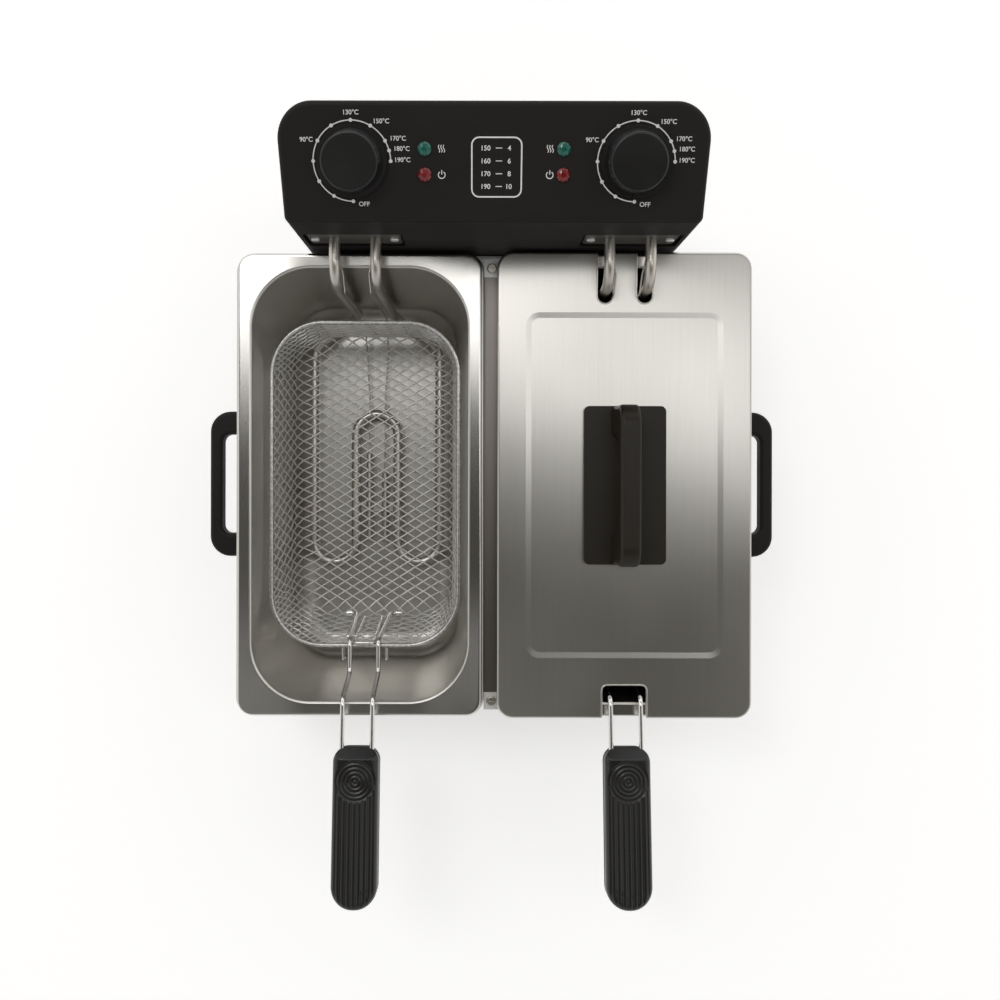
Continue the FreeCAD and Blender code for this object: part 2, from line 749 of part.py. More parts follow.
def control_housing():
    """Black shell of the control unit, with its openings and hanging tongues."""
    shell = control_block(0)
    shell = shell.makeFillet(CONTROL_EDGE_R, slope_edges(shell))
    shell = shell.cut(control_block(CONTROL_WALL))
    for side in SIDES.values():
        x = side * tank_x
        boss_w = pocket_w + 2 * BOSS_MARGIN
        boss_h = pocket_h + 2 * BOSS_MARGIN
        shell = shell.fuse(upright_block(boss_w, boss_h, PLATE_R, x, tube_z, control_front, boss_back))
        shell = shell.cut(upright_block(pocket_w, pocket_h, PLATE_R, x, tube_z, control_front, plate_back))
        across = (side * HOOK_X - TONGUE_W / 2, side * HOOK_X + TONGUE_W / 2)
        thick = (control_front, control_front + CONTROL_WALL)
        shell = shell.fuse(box(across, thick, (tongue_foot, control_bottom + CONTROL_WALL)))
        for offset in (-riser_x, riser_x):
            for z, radius in ((tube_z, TUBE_R), (capillary_z, CAPILLARY_R)):
                start = Vector(x + offset, plate_back, z)
                shell = shell.cut(Part.makeCylinder(radius + TUBE_CLEAR, CONTROL_WALL, start, Y))
        under = Vector(0, 0, -1.5 * CONTROL_WALL)
        bush_hole = Part.makeCylinder(BUSH_R + BUSH_FIT, 2 * CONTROL_WALL, under)
        shell = shell.cut(on_panel(bush_hole, side * knob_x, panel_mid))
    for x, along in lamp_places().values():
        hole = Part.makeCylinder(LAMP_R + LAMP_FIT, 2 * CONTROL_WALL, Vector(0, 0, -1.5 * CONTROL_WALL))
        shell = shell.cut(on_panel(hole, x, along))
    for place in plate_screw_places():
        shell = shell.cut(screw_hole(place, Y, SCREW_L))
    opening_w = cover_w - 2 * COVER_LAP
    opening_h = COVER_H - 2 * COVER_LAP
    inside = control_back - CONTROL_WALL
    shell = shell.cut(upright_block(opening_w, opening_h, COVER_R, 0, cover_z, inside, control_back))
    for place in cover_screw_places():
        shell = shell.cut(screw_hole(place, -Y, COVER_T + CONTROL_WALL))
    pin_hole = Part.makeCylinder(SWITCH_PIN_R + LEAD_GAP, CONTROL_WALL, switch_pin_start(), Y)
    return shell.cut(pin_hole).removeSplitter()


def control_back_cover():
    """Flat cover on the back of the control unit."""
    back = control_back + COVER_T
    cover = upright_block(cover_w, COVER_H, COVER_R, 0, cover_z, control_back, back)
    for place in cover_screw_places():
        cover = cover.cut(screw_hole(place, -Y, COVER_T))
    for side in SIDES.values():
        gland = Vector(side * GLAND_X, control_back, gland_z)
        cover = cover.cut(Part.makeCylinder(GLAND_R, COVER_T, gland, Y))
        start = Vector(side * tank_x, control_back, button_z)
        cover = cover.cut(Part.makeCylinder(BUTTON_R + BUTTON_PLAY, COVER_T, start, Y))
    return cover


def back_cover_screws():
    """Screws of the back cover."""
    one = screw(SCREW_HEAD_R, COVER_T + CONTROL_WALL)
    return [turned(one, X, -90, place) for place in cover_screw_places()]


def cord_glands():
    """Two bushes in the back cover for the mains cords."""
    glands = []
    for side in SIDES.values():
        start = Vector(side * GLAND_X, control_back + COVER_T + GLAND_FLANGE_T - GLAND_L, gland_z)
        body = Part.makeCylinder(GLAND_R, GLAND_L, start, Y)
        seat = Vector(start.x, control_back + COVER_T, gland_z)
        flange = Part.makeCylinder(GLAND_FLANGE_R, GLAND_FLANGE_T, seat, Y)
        nut_start = Vector(start.x, control_back - GLAND_FLANGE_T, gland_z)
        nut = Part.makeCylinder(GLAND_FLANGE_R, GLAND_FLANGE_T, nut_start, Y)
        bore = Part.makeCylinder(GLAND_BORE_R, GLAND_L, start, Y)
        glands.append(body.fuse(flange).fuse(nut).cut(bore).removeSplitter())
    return glands


def reset_button(side):
    """Push button of a thermal cut-out, held behind the cover by its flange."""
    x = side * tank_x
    stem_start = Vector(x, flange_back - BUTTON_FLANGE_T, button_z)
    stem = Part.makeCylinder(BUTTON_R, button_face - stem_start.y, stem_start, Y)
    flange = Part.makeCylinder(BUTTON_FLANGE_R, BUTTON_FLANGE_T, stem_start, Y)
    return stem.fuse(flange).removeSplitter()


def thermal_cutout(side):
    """Cut-out body behind a reset button, standing on the cover by its sleeve."""
    x = side * tank_x
    half_w = CUTOUT_W / 2
    half_h = CUTOUT_H / 2
    depth = (cutout_back - CUTOUT_D, cutout_back)
    body = box((x - half_w, x + half_w), depth, (button_z - half_h, button_z + half_h))
    inner_r = BUTTON_FLANGE_R + BUTTON_PLAY
    start = Vector(x, cutout_back, button_z)
    length = control_back - cutout_back
    sleeve = Part.makeCylinder(inner_r + CUTOUT_SLEEVE_T, length, start, Y)
    return body.fuse(sleeve).cut(Part.makeCylinder(inner_r, length, start, Y)).removeSplitter()


def element_route(x):
    """Corner points of one heating element: over the rim, down, an M on the floor and back up."""
    half = []
    half.append(Vector(-riser_x, tube_end, tube_z))
    half.append(Vector(-riser_x, riser_y, tube_z))
    half.append(Vector(-riser_x, riser_y, element_z))
    half.append(Vector(-element_half, riser_y - ELEMENT_DIAGONAL, element_z))
    half.append(Vector(-element_half, element_front, element_z))
    half.append(Vector(-leg_pitch / 2, element_front, element_z))
    half.append(Vector(-leg_pitch / 2, element_mid, element_z))
    other = [Vector(-point.x, point.y, point.z) for point in reversed(half)]
    return [point + X * x for point in half + other]


def heating_element(side):
    """Bent heating tube with a terminal pin at each end."""
    turn = leg_pitch / 2
    half = [TOP_BEND_R, LOW_BEND_R, SIDE_BEND_R, turn, turn, turn]
    rod = tube(element_route(side * tank_x), half + half[::-1], TUBE_R)
    for x in (-riser_x, riser_x):
        rod = rod.fuse(Part.makeCylinder(PIN_R, PIN_L, Vector(side * tank_x + x, tube_end, tube_z), Y))
    return rod


def element_plate(side):
    """Flange plate that holds the tubes of an element."""
    x = side * tank_x
    front = plate_back - PLATE_T
    plate = upright_block(PLATE_W, PLATE_H, PLATE_R, x, tube_z, front, plate_back)
    for offset in (-riser_x, riser_x):
        place = Vector(x + offset, front, tube_z)
        plate = plate.cut(Part.makeCylinder(TUBE_R + TUBE_FIT, PLATE_T, place, Y))
        start = Vector(x + offset, front, capillary_z)
        plate = plate.cut(Part.makeCylinder(CAPILLARY_R + SCREW_FIT, PLATE_T, start, Y))
    for place in plate_screw_places():
        plate = plate.cut(screw_hole(place, Y, PLATE_T))
    return plate


def element_plate_screws():
    """Two screws in each element plate."""
    return [turned(screw(SCREW_HEAD_R, SCREW_L), X, 90, place) for place in plate_screw_places()]


def capillary_points(inner, bulb_x, bulb_end, inside_box):
    """Route of a capillary from its bulb, under the element and up beside a riser.

    The inner sign says on which side of its riser the tube climbs, towards the middle of the tank.
    """
    under_z = element_z - TUBE_R - CAPILLARY_R - CAPILLARY_GAP
    beside = inner * (riser_x - TUBE_R - CAPILLARY_R - CAPILLARY_GAP)
    reach = MOUTH_L / 2 - RISER_SETBACK
    points = [Vector(bulb_x, bulb_end, bulb_z)]
    points.append(Vector(bulb_x, bulb_end + 2 * CAPILLARY_BEND, bulb_z))
    points.append(Vector(bulb_x, bulb_end + 5 * CAPILLARY_BEND, under_z))
    points.append(Vector(bulb_x, element_mid + 4 * TUBE_R, under_z))
    points.append(Vector(beside, reach - 2 * LOW_BEND_R, under_z))
    points.append(Vector(beside, reach - TUBE_R, element_z + LOW_BEND_R))
    points.append(Vector(beside, reach - TUBE_R, tube_z - TOP_BEND_R))
    points.append(Vector(beside, reach + TOP_BEND_R / 2, capillary_z))
    points.append(Vector(inner * riser_x, reach + 2 * TOP_BEND_R - TUBE_R, capillary_z))
    points.append(Vector(inner * riser_x, boss_back + CAPILLARY_BEND, capillary_z))
    return points + inside_box


def sensor_bulbs(side):
    """Bulbs of the thermostat and the cut-out, their capillaries and the clip under the element."""
    x = side * tank_x
    body_x = side * (knob_x - tank_x) / 2
    body_foot = panel_point(body_x, panel_mid, -CONTROL_WALL - THERMOSTAT_H)
    below = body_foot.z - LEAD_GAP - THERMOSTAT_W / 2 * math.sin(tilt)
    turn_y = boss_back + 3 * CAPILLARY_BEND
    to_body = [Vector(body_x, turn_y, tube_z), Vector(body_x, body_foot.y - CUTOUT_D / 2, below)]
    cutout_front = cutout_back - CUTOUT_D - LEAD_GAP
    to_cutout = [Vector(-TUBE_R, turn_y, tube_z), Vector(-TUBE_R, cutout_front, button_z - CAPILLARY_BEND)]
    pieces = []
    for inner, length, inside_box in ((1, CONTROL_BULB_L, to_body), (-1, CUTOUT_BULB_L, to_cutout)):
        bulb_x = inner * BULB_OFFSET
        bulb = Part.makeCylinder(BULB_R, length, Vector(bulb_x, bulb_front, bulb_z), Y)
        points = capillary_points(inner, bulb_x, bulb_front + length, inside_box)
        pieces.append(bulb.fuse(tube(points, CAPILLARY_BEND, CAPILLARY_R)))
    clip_half = leg_pitch / 2 + CLIP_OVERHANG
    clip_top = element_z - TUBE_R
    middle = bulb_front + CONTROL_BULB_L / 2
    along = (middle - CLIP_L / 2, middle + CLIP_L / 2)
    pieces.append(box((-clip_half, clip_half), along, (clip_top - CLIP_T, clip_top)))
    return [moved(piece, x) for piece in pieces]


def knob(side):
    """Turned knob with a skirt, and a pointer on the skirt that shows OFF towards the front."""
    top = KNOB_H
    shoulder_r = KNOB_BASE_R - KNOB_STEP
    corners = [(0, KNOB_GAP), (KNOB_BASE_R, KNOB_GAP),
               (KNOB_BASE_R, KNOB_BASE_H), (shoulder_r, KNOB_BASE_H),
               (KNOB_TOP_R, top), (0, top)]
    points = [Vector(r, 0, z) for r, z in corners]
    body = Part.Face(Part.makePolygon(points + points[:1])).revolve(Vector(0, 0, 0), Z, 360)
    body = body.makeFillet(KNOB_EDGE_R, edges_at(body, top))
    pointer = box((-POINTER_W / 2, POINTER_W / 2), (-KNOB_BASE_R + POINTER_H / 2, -KNOB_TOP_R),
                  (KNOB_BASE_H, KNOB_BASE_H + POINTER_H))
    body = body.fuse(pointer)
    body = body.cut(Part.makeCylinder(KNOB_CAVITY_R, BUSH_PROUD + KNOB_GAP, Vector(0, 0, KNOB_GAP)))
    body = body.cut(Part.makeCylinder(SPINDLE_R + TUBE_FIT, SPINDLE_IN_KNOB))
    return on_panel(body.removeSplitter(), side * knob_x, panel_mid)


def spindle(side):
    """Thermostat spindle that turns with the knob."""
    foot = -CONTROL_WALL - SPINDLE_IN_BODY
    rod = Part.makeCylinder(SPINDLE_R, SPINDLE_IN_KNOB - foot, Vector(0, 0, foot))
    return on_panel(rod, side * knob_x, panel_mid)


def thermostat(side):
    """Thermostat under the panel, with its bush through the panel."""
    half = THERMOSTAT_W / 2
    body = box((-half, half), (-half, half), (-CONTROL_WALL - THERMOSTAT_H, -CONTROL_WALL))
    body = body.fuse(Part.makeCylinder(BUSH_R, CONTROL_WALL + BUSH_PROUD, Vector(0, 0, -CONTROL_WALL)))
    foot = -CONTROL_WALL - SPINDLE_IN_BODY - SPINDLE_FIT
    bore = Part.makeCylinder(SPINDLE_R + SPINDLE_FIT, BUSH_PROUD - foot, Vector(0, 0, foot))
    return on_panel(body.cut(bore).removeSplitter(), side * knob_x, panel_mid)


def lamp(x, along):
    """Lamp with a domed lens above the panel and a flange under it."""
    body = Part.makeCylinder(LAMP_R, LAMP_BODY, Vector(0, 0, -LAMP_BODY))
    ball_r = (LAMP_R ** 2 + LAMP_DOME ** 2) / (2 * LAMP_DOME)
    ball = Part.makeSphere(ball_r, Vector(0, 0, LAMP_DOME - ball_r))
    dome = ball.common(Part.makeCylinder(LAMP_R, LAMP_DOME))
    flange_foot = -CONTROL_WALL - LAMP_FLANGE_T
    flange = Part.makeCylinder(LAMP_R + LAMP_FLANGE, LAMP_FLANGE_T, Vector(0, 0, flange_foot))
    return on_panel(body.fuse(dome).fuse(flange).removeSplitter(), x, along)


def terminal_block():
    """Terminal block on the floor of the control unit."""
    middle = (control_front + control_back) / 2
    foot = control_bottom + CONTROL_WALL
    return box((-TERMINAL_W / 2, TERMINAL_W / 2), (middle - TERMINAL_D / 2, middle + TERMINAL_D / 2),
               (foot, foot + TERMINAL_H))


def switch_pin_start():
    """Outer end of the safety switch's pin, flush with the front of the control unit."""
    return Vector(0, control_front, control_bottom + SWITCH_RISE)


def safety_switch():
    """Switch that closes only while the control unit hangs on the fryer."""
    pin = switch_pin_start()
    wall_in = control_front + CONTROL_WALL
    body = box((-SWITCH_W / 2, SWITCH_W / 2), (wall_in, wall_in + SWITCH_D),
               (pin.z - SWITCH_H / 2, pin.z + SWITCH_H / 2))
    return body.fuse(Part.makeCylinder(SWITCH_PIN_R, CONTROL_WALL, pin, Y)).removeSplitter()


def wiring():
    """Leads from the terminal block to the elements, thermostats and lamps."""
    middle = (control_front + control_back) / 2
    foot = control_bottom + CONTROL_WALL + TERMINAL_H + LEAD_GAP
    pitch = TERMINAL_W / 7
    low = foot + 3 * LEAD_BEND
    leads = []
    for side in SIDES.values():
        pin_x = side * (tank_x - riser_x)
        pin_end = tube_end + PIN_L + LEAD_GAP
        to_pin = [Vector(side * 3 * pitch, middle, foot), Vector(side * 3 * pitch, middle, low),
                  Vector(pin_x, pin_end + 2 * LEAD_BEND, low),
                  Vector(pin_x, pin_end + 2 * LEAD_BEND, tube_z),
                  Vector(pin_x, pin_end, tube_z)]
        body_x = side * (knob_x - 2 * BUSH_R)
        under = panel_point(body_x, panel_mid, -CONTROL_WALL - THERMOSTAT_H - LEAD_GAP)
        reach = panel_point(body_x, panel_mid, -CONTROL_WALL - THERMOSTAT_H - 3 * LEAD_BEND)
        turn_x = side * (tank_x - riser_x - 3 * LEAD_BEND)
        to_body = [Vector(side * 2 * pitch, middle, foot),
                   Vector(side * 2 * pitch, middle, low + 2 * LEAD_BEND),
                   Vector(turn_x, middle, low + 4 * LEAD_BEND), reach, under]
        lamp_foot = panel_point(side * LAMP_X, panel_mid + RED_OFFSET, -LAMP_BODY - LEAD_GAP)
        lamp_reach = panel_point(side * LAMP_X, panel_mid + RED_OFFSET, -LAMP_BODY - 3 * LEAD_BEND)
        to_lamp = [Vector(side * pitch, middle, foot), Vector(side * pitch, middle, low + 4 * LEAD_BEND),
                   lamp_reach, lamp_foot]
        leads += [tube(points, LEAD_BEND, LEAD_R) for points in (to_pin, to_body, to_lamp)]
    return leads


def basket_wall(side):
    """Mesh wall of a basket as a thin tapered shell, open at the top and round the floor."""
    shell = tub_solid(mesh_w, mesh_l, mesh_r, mesh_top, mesh_outside, mesh_lean)
    shell = shell.cut(tub_solid(mesh_w, mesh_l, mesh_r, mesh_top, mesh_inside, mesh_lean))
    inset = mesh_inside[-1][0]
    top = basket_floor_z + MESH_T
    hole = block(mesh_w - 2 * inset, mesh_l - 2 * inset, mesh_r - inset, basket_floor_z, top)
    return moved(shell.cut(moved(hole, 0.0, BASKET_LEAN)).removeSplitter(), side * tank_x)


def diamond(x, y, z):
    """Outline of one gap of the net."""
    half_x = NET_PITCH_X / 2 - NET_WIRE
    half_y = NET_PITCH_Y / 2 - NET_WIRE * NET_PITCH_Y / NET_PITCH_X
    points = [Vector(x - half_x, y, z), Vector(x, y - half_y, z),
              Vector(x + half_x, y, z), Vector(x, y + half_y, z)]
    return Part.makePolygon(points + points[:1])


def net_gaps(width, length, radius):
    """Middles of the gaps that lie wholly inside a rounded rectangle."""
    places = []
    columns = int(width / NET_PITCH_X) + 1
    rows = int(length / NET_PITCH_Y) + 1
    for i in range(-columns, columns + 1):
        for j in range(-rows, rows + 1):
            x = i * NET_PITCH_X / 2
            y = j * NET_PITCH_Y / 2
            over_x = abs(x) + NET_PITCH_X / 2 - (width / 2 - radius)
            over_y = abs(y) + NET_PITCH_Y / 2 - (length / 2 - radius)
            inside = max(over_x, over_y) <= radius
            round_corner = min(over_x, over_y) <= 0 or math.hypot(over_x, over_y) <= radius
            if (i + j) % 2 == 0 and inside and round_corner:
                places.append((x, y))
    return places


def basket_floor(side):
    """Flat net that closes the bottom of a basket."""
    inset = mesh_inside[-1][0] + MESH_FIT
    width = mesh_w - 2 * inset
    length = mesh_l - 2 * inset
    radius = mesh_r - inset
    border = NET_BORDER
    places = net_gaps(width - 2 * border, length - 2 * border, radius - border)
    outline = rounded_rectangle(width, length, radius, basket_floor_z)
    holes = [diamond(x, y, basket_floor_z) for x, y in places]
    face = Part.Face([outline] + holes)
    return moved(face.extrude(Z * MESH_T), side * tank_x, BASKET_LEAN)


def basket_rim(side):
    """Thick wire round the top of a basket."""
    width = basket_w - 2 * RIM_WIRE_R
    length = basket_l - 2 * RIM_WIRE_R
    path = rounded_rectangle(width, length, BASKET_R - RIM_WIRE_R, basket_rim_z)
    start = path.Edges[0].Vertexes[0].Point
    first = path.Edges[0]
    forward = first.tangentAt(first.FirstParameter)
    section = Part.Wire(Part.Circle(start, forward, RIM_WIRE_R).toShape())
    return moved(path.makePipeShell([section], True, False), side * tank_x)


def basket_bracket(side):
    """Wire loop and eyes that hold the handle, and two stubs that hook over the tank rim."""
    foot_z = hinge_z + eye_r
    foot_y = -(mesh_wall_y(foot_z) - BRACKET_R - WELD_GAP)
    top_z = basket_rim_z + BRACKET_RISE
    top_y = -(basket_l / 2 - 2 * RIM_WIRE_R - BRACKET_R - WELD_GAP)
    loop = [Vector(-BRACKET_HALF_W, foot_y, foot_z), Vector(-BRACKET_HALF_W, top_y, top_z),
            Vector(BRACKET_HALF_W, top_y, top_z), Vector(BRACKET_HALF_W, foot_y, foot_z)]
    pieces = [tube(loop, BRACKET_BEND, BRACKET_R)]
    eye_x = leg_x + HANDLE_FLARE + HANDLE_TIP_BEND + EYE_FIT
    outer = -(basket_l / 2 + WELD_GAP)
    for sign in (-1, 1):
        start = Vector(sign * eye_x, hinge_y, hinge_z)
        eye = Part.makeCylinder(eye_r, EYE_L, start, X * sign)
        pieces.append(eye.cut(Part.makeCylinder(HANDLE_R + EYE_FIT, EYE_L, start, X * sign)))
        x = sign * HOOK_STUB_X
        stub = [Vector(x, outer, basket_rim_z), Vector(x, outer - HOOK_STUB_OUT, basket_rim_z),
                Vector(x, outer - HOOK_STUB_OUT, basket_rim_z - HOOK_STUB_DOWN)]
        pieces.append(tube(stub, BRACKET_BEND, BRACKET_R))
    return [moved(piece, side * tank_x) for piece in pieces]


def handle_route():
    """Corner points of a basket handle's wire, from one tip through the grip to the other."""
    over_y = -(basket_l / 2 - 2 * RIM_WIRE_R - HANDLE_R - HANDLE_RIM_GAP)
    over_z = basket_rim_z + RIM_WIRE_R + HANDLE_R + HANDLE_RIM_GAP
    low_x = leg_x + HANDLE_FLARE
    inside = GRIP_START + GRIP_WIRE_IN
    half = [Vector(low_x + HANDLE_TIP, hinge_y, hinge_z)]
    half.append(Vector(low_x, hinge_y, hinge_z))
    half.append(Vector(leg_x, over_y, over_z))
    half.append(Vector(leg_x, -(basket_l / 2 + KINK_OUT), over_z))
    half.append(Vector(leg_x, kink_y, kink_z))
    half.append(Vector(leg_x, kink_y - inside * math.cos(slope), kink_z + inside * math.sin(slope)))
    return half + [Vector(-point.x, point.y, point.z) for point in reversed(half)]


def handle_rod(radius):
    """The handle's wire, as a rod of the given radius."""
    over_bend = HANDLE_TIP_BEND + HANDLE_RIM_GAP
    half = [HANDLE_TIP_BEND, over_bend, HANDLE_BEND, HANDLE_BEND, leg_x]
    return tube(handle_route(), half + half[::-1], radius)


def handle_wire(side):
    """Bent wire of a basket handle."""
    return moved(handle_rod(HANDLE_R), side * tank_x)


def grip_start():
    """Where the wire enters the grip."""
    return Vector(0, kink_y - GRIP_START * math.cos(slope), kink_z + GRIP_START * math.sin(slope))


def grip_half(side, up):
    """Upper or lower half of a ribbed grip, parted along the wire."""
    half_w = GRIP_W / 2
    half_t = GRIP_T / 2
    corners = [Vector(-half_w, -GRIP_L, -half_t), Vector(half_w, -GRIP_L, -half_t),
               Vector(half_w, 0, -half_t), Vector(-half_w, 0, -half_t)]
    outline = rounded_polygon(corners, [GRIP_END_R, GRIP_END_R, GRIP_HEAD_R, GRIP_HEAD_R])
    body = Part.Face(outline).extrude(Z * GRIP_T)
    body = body.makeFillet(GRIP_EDGE_R, edges_at(body, half_t) + edges_at(body, -half_t))
    limits = (0, half_t) if up else (-half_t, 0)
    body = body.common(box((-half_w, half_w), (-GRIP_L, 0), limits))
    face_z = half_t if up else -half_t
    for index in range(RIB_COUNT + 1):
        x = (index - RIB_COUNT / 2) * RIB_PITCH
        start = Vector(x, -RIB_START, face_z)
        body = body.cut(Part.makeCylinder(RIB_GROOVE_R, GRIP_L - RIB_START - RIB_END, start, -Y))
    if up:
        for index in range(RING_COUNT):
            ring = Part.makeTorus((index + 1) * RING_PITCH, RING_GROOVE_R, Vector(0, -RING_CENTRE, face_z))
            body = body.cut(ring)
    body = turned(body, X, -GRIP_SLOPE, grip_start())
    return moved(body.cut(handle_rod(HANDLE_R + GRIP_WIRE_FIT)), side * tank_x)


def lid():
    """Pressed sheet lid with slots for the element's tubes and a notch for the basket handle."""
    skirt_z = rim_z - LID_SKIRT
    pan = block(lid_w, lid_l, LID_R, skirt_z, lid_top)
    pan = pan.makeFillet(LID_EDGE_R, edges_at(pan, lid_top))
    pan = pan.cut(block(lid_w - 2 * SHEET, lid_l - 2 * SHEET, LID_R - SHEET, skirt_z, lid_z))
    inner_w = FIELD_W - 2 * FIELD_SLOPE
    inner_l = FIELD_L - 2 * FIELD_SLOPE
    inner_r = FIELD_R - FIELD_SLOPE
    rim = rounded_rectangle(FIELD_W + 2 * SHEET, FIELD_L + 2 * SHEET, FIELD_R + SHEET, lid_z)
    under = Part.makeLoft([rim,
                           rounded_rectangle(inner_w + 2 * SHEET, inner_l + 2 * SHEET, inner_r + SHEET,
                                             field_z - SHEET)], True, True)
    field = Part.makeLoft([rounded_rectangle(FIELD_W, FIELD_L, FIELD_R, lid_top),
                           rounded_rectangle(inner_w, inner_l, inner_r, field_z)], True, True)
    sheet = pan.fuse(under).cut(field)
    low = field_z - 2 * SHEET - LID_SKIRT
    for x in (-riser_x, riser_x):
        slot = Part.makeCylinder(slot_w / 2, lid_top - low, Vector(x, slot_front + slot_w / 2, low))
        cut = box((x - slot_w / 2, x + slot_w / 2), (slot_front + slot_w / 2, lid_l), (low, lid_top))
        sheet = sheet.cut(slot.fuse(cut))
    half = NOTCH_W / 2
    corners = [Vector(-half, -lid_l, low), Vector(half, -lid_l, low), Vector(half, notch_back, low),
               Vector(-half, notch_back, low)]
    notch = Part.Face(rounded_polygon(corners, [NOTCH_R] * 4)).extrude(Z * (lid_top - low))
    sheet = sheet.cut(notch)
    for place in lid_screw_places():
        sheet = sheet.cut(screw_hole(place, Z, SHEET))
    return moved(sheet.removeSplitter(), tank_x)


def lid_screw_places():
    """Seats of the lid handle's screws, under the lid."""
    y = (LID_HANDLE_L - LID_LEG_L) / 2
    return [Vector(0, end * y, field_z - SHEET) for end in (-1, 1)]


def lid_handle():
    """Bridge handle on a base plate."""
    half_l = LID_HANDLE_L / 2
    foot = field_z + LID_HANDLE_PLATE
    top = foot + LID_HANDLE_H
    plate = block(LID_HANDLE_W, LID_HANDLE_L, LID_HANDLE_PLATE_R, field_z, foot)
    half_bar = LID_BAR_W / 2
    small = LID_BAR_EDGE_R
    corners = [Vector(-half_bar, -half_l, field_z), Vector(-half_bar, half_l, field_z),
               Vector(-half_bar, half_l, top), Vector(-half_bar, -half_l, top)]
    radii = [small / 10, small / 10, LID_SHOULDER_R, LID_SHOULDER_R]
    arch = Part.Face(rounded_polygon(corners, radii)).extrude(X * LID_BAR_W)
    ends = [e for e in arch.Edges if e.BoundBox.XLength < 1e-4 and e.BoundBox.ZMax > foot]
    arch = arch.makeFillet(small, ends)
    for end in (-1, 1):
        y = end * (half_l - LID_LEG_L / 2)
        wide = moved(rounded_rectangle(LID_LEG_W, LID_LEG_L, LID_HANDLE_PLATE_R, field_z), 0, y)
        shoulder_z = top - LID_SHOULDER_R
        narrow = moved(rounded_rectangle(LID_BAR_W, LID_LEG_L, LID_HANDLE_PLATE_R, shoulder_z), 0, y)
        arch = arch.fuse(Part.makeLoft([wide, narrow], True, True))
    gap = half_l - LID_LEG_L
    corners = [Vector(-LID_LEG_W, -gap, foot), Vector(-LID_LEG_W, gap, foot),
               Vector(-LID_LEG_W, gap, top - LID_BAR_T), Vector(-LID_LEG_W, -gap, top - LID_BAR_T)]
    fingers = Part.Face(rounded_polygon(corners, [small / 10, small / 10, LID_FINGER_R, LID_FINGER_R]))
    shape = arch.cut(fingers.extrude(X * 2 * LID_LEG_W)).fuse(plate)
    for place in lid_screw_places():
        shape = shape.cut(screw_hole(place, Z, SHEET + SCREW_L))
    return moved(shape.removeSplitter(), tank_x)


def lid_handle_screws():
    """Screws from under the lid into the legs of its handle."""
    one = screw(SCREW_HEAD_R, SCREW_L)
    return [moved(turned(one, X, 180, place), tank_x) for place in lid_screw_places()]


def paired_pieces():
    """Pieces that each side has, by name."""
    makers = {"housing": housing, "base_plate": base, "side_handle": side_handle, "thermostat": thermostat,
              "thermal_cutout": thermal_cutout, "reset_button": reset_button, "element": heating_element,
              "element_plate": element_plate, "sensor_bulbs": sensor_bulbs,
              "knob": knob, "spindle": spindle,
              "basket_wall": basket_wall, "basket_floor": basket_floor, "basket_rim": basket_rim,
              "basket_bracket": basket_bracket, "handle_wire": handle_wire}
    pieces = {}
    for name, side in SIDES.items():
        for piece, maker in makers.items():
            pieces[name + "_" + piece] = maker(side)
        pieces[name + "_tank"] = moved(tank(), side * tank_x)
        pieces[name + "_grip_upper"] = grip_half(side, True)
        pieces[name + "_grip_lower"] = grip_half(side, False)
    return pieces


def shared_pieces():
    """Pieces that the object has once, or as a group."""
    pieces = {"rubber_feet": rubber_feet(), "joining_strip": joining_strip(),
              "tie_brackets": tie_brackets(),
              "tie_screws": tie_screws(), "side_handle_screws": side_handle_screws(),
              "rear_hanger": rear_hanger(), "control_housing": control_housing(),
              "control_back_cover": control_back_cover(), "back_cover_screws": back_cover_screws(),
              "cord_glands": cord_glands(), "element_plate_screws": element_plate_screws(),
              "terminal_block": terminal_block(), "safety_switch": safety_switch(), "wiring": wiring(),
              "lid": lid(), "lid_handle": lid_handle(), "lid_handle_screws": lid_handle_screws()}
    for name, (x, along) in lamp_places().items():
        pieces[name] = lamp(x, along)
    return pieces


def main():
    """Write every piece to its own file."""
    os.makedirs("parts", exist_ok=True)
    for name, piece in {**paired_pieces(), **shared_pieces()}.items():
        shape = Part.makeCompound(piece) if isinstance(piece, list) else piece
        moved(shape, 0, origin_shift).exportStep("parts/" + name + ".step")


if __name__ == "__main__":
    main()
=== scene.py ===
"""Twin-tank deep fryer, seen from straight above: looks, light and camera.

Metres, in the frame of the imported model: +X to the right, +Y to the back, +Z up.
"""
import json
import math

import bmesh
import bpy
from mathutils import Matrix, Vector


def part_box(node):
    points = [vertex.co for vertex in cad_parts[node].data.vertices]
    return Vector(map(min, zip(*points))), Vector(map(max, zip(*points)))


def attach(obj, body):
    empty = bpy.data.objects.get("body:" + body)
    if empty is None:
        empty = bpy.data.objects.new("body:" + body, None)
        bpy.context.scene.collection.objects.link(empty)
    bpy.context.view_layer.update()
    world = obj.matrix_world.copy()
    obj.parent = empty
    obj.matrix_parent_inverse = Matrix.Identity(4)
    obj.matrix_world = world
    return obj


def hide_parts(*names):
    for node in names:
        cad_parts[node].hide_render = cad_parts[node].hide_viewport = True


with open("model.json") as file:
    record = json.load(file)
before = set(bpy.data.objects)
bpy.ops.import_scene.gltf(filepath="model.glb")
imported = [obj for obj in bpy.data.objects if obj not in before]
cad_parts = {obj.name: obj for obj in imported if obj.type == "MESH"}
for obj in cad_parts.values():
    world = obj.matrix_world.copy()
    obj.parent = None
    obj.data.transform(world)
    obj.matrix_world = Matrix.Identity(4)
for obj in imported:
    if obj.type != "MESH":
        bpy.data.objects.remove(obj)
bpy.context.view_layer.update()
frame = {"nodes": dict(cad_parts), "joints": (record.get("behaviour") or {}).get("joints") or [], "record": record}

MM = 0.001
SIDES = ("left", "right")
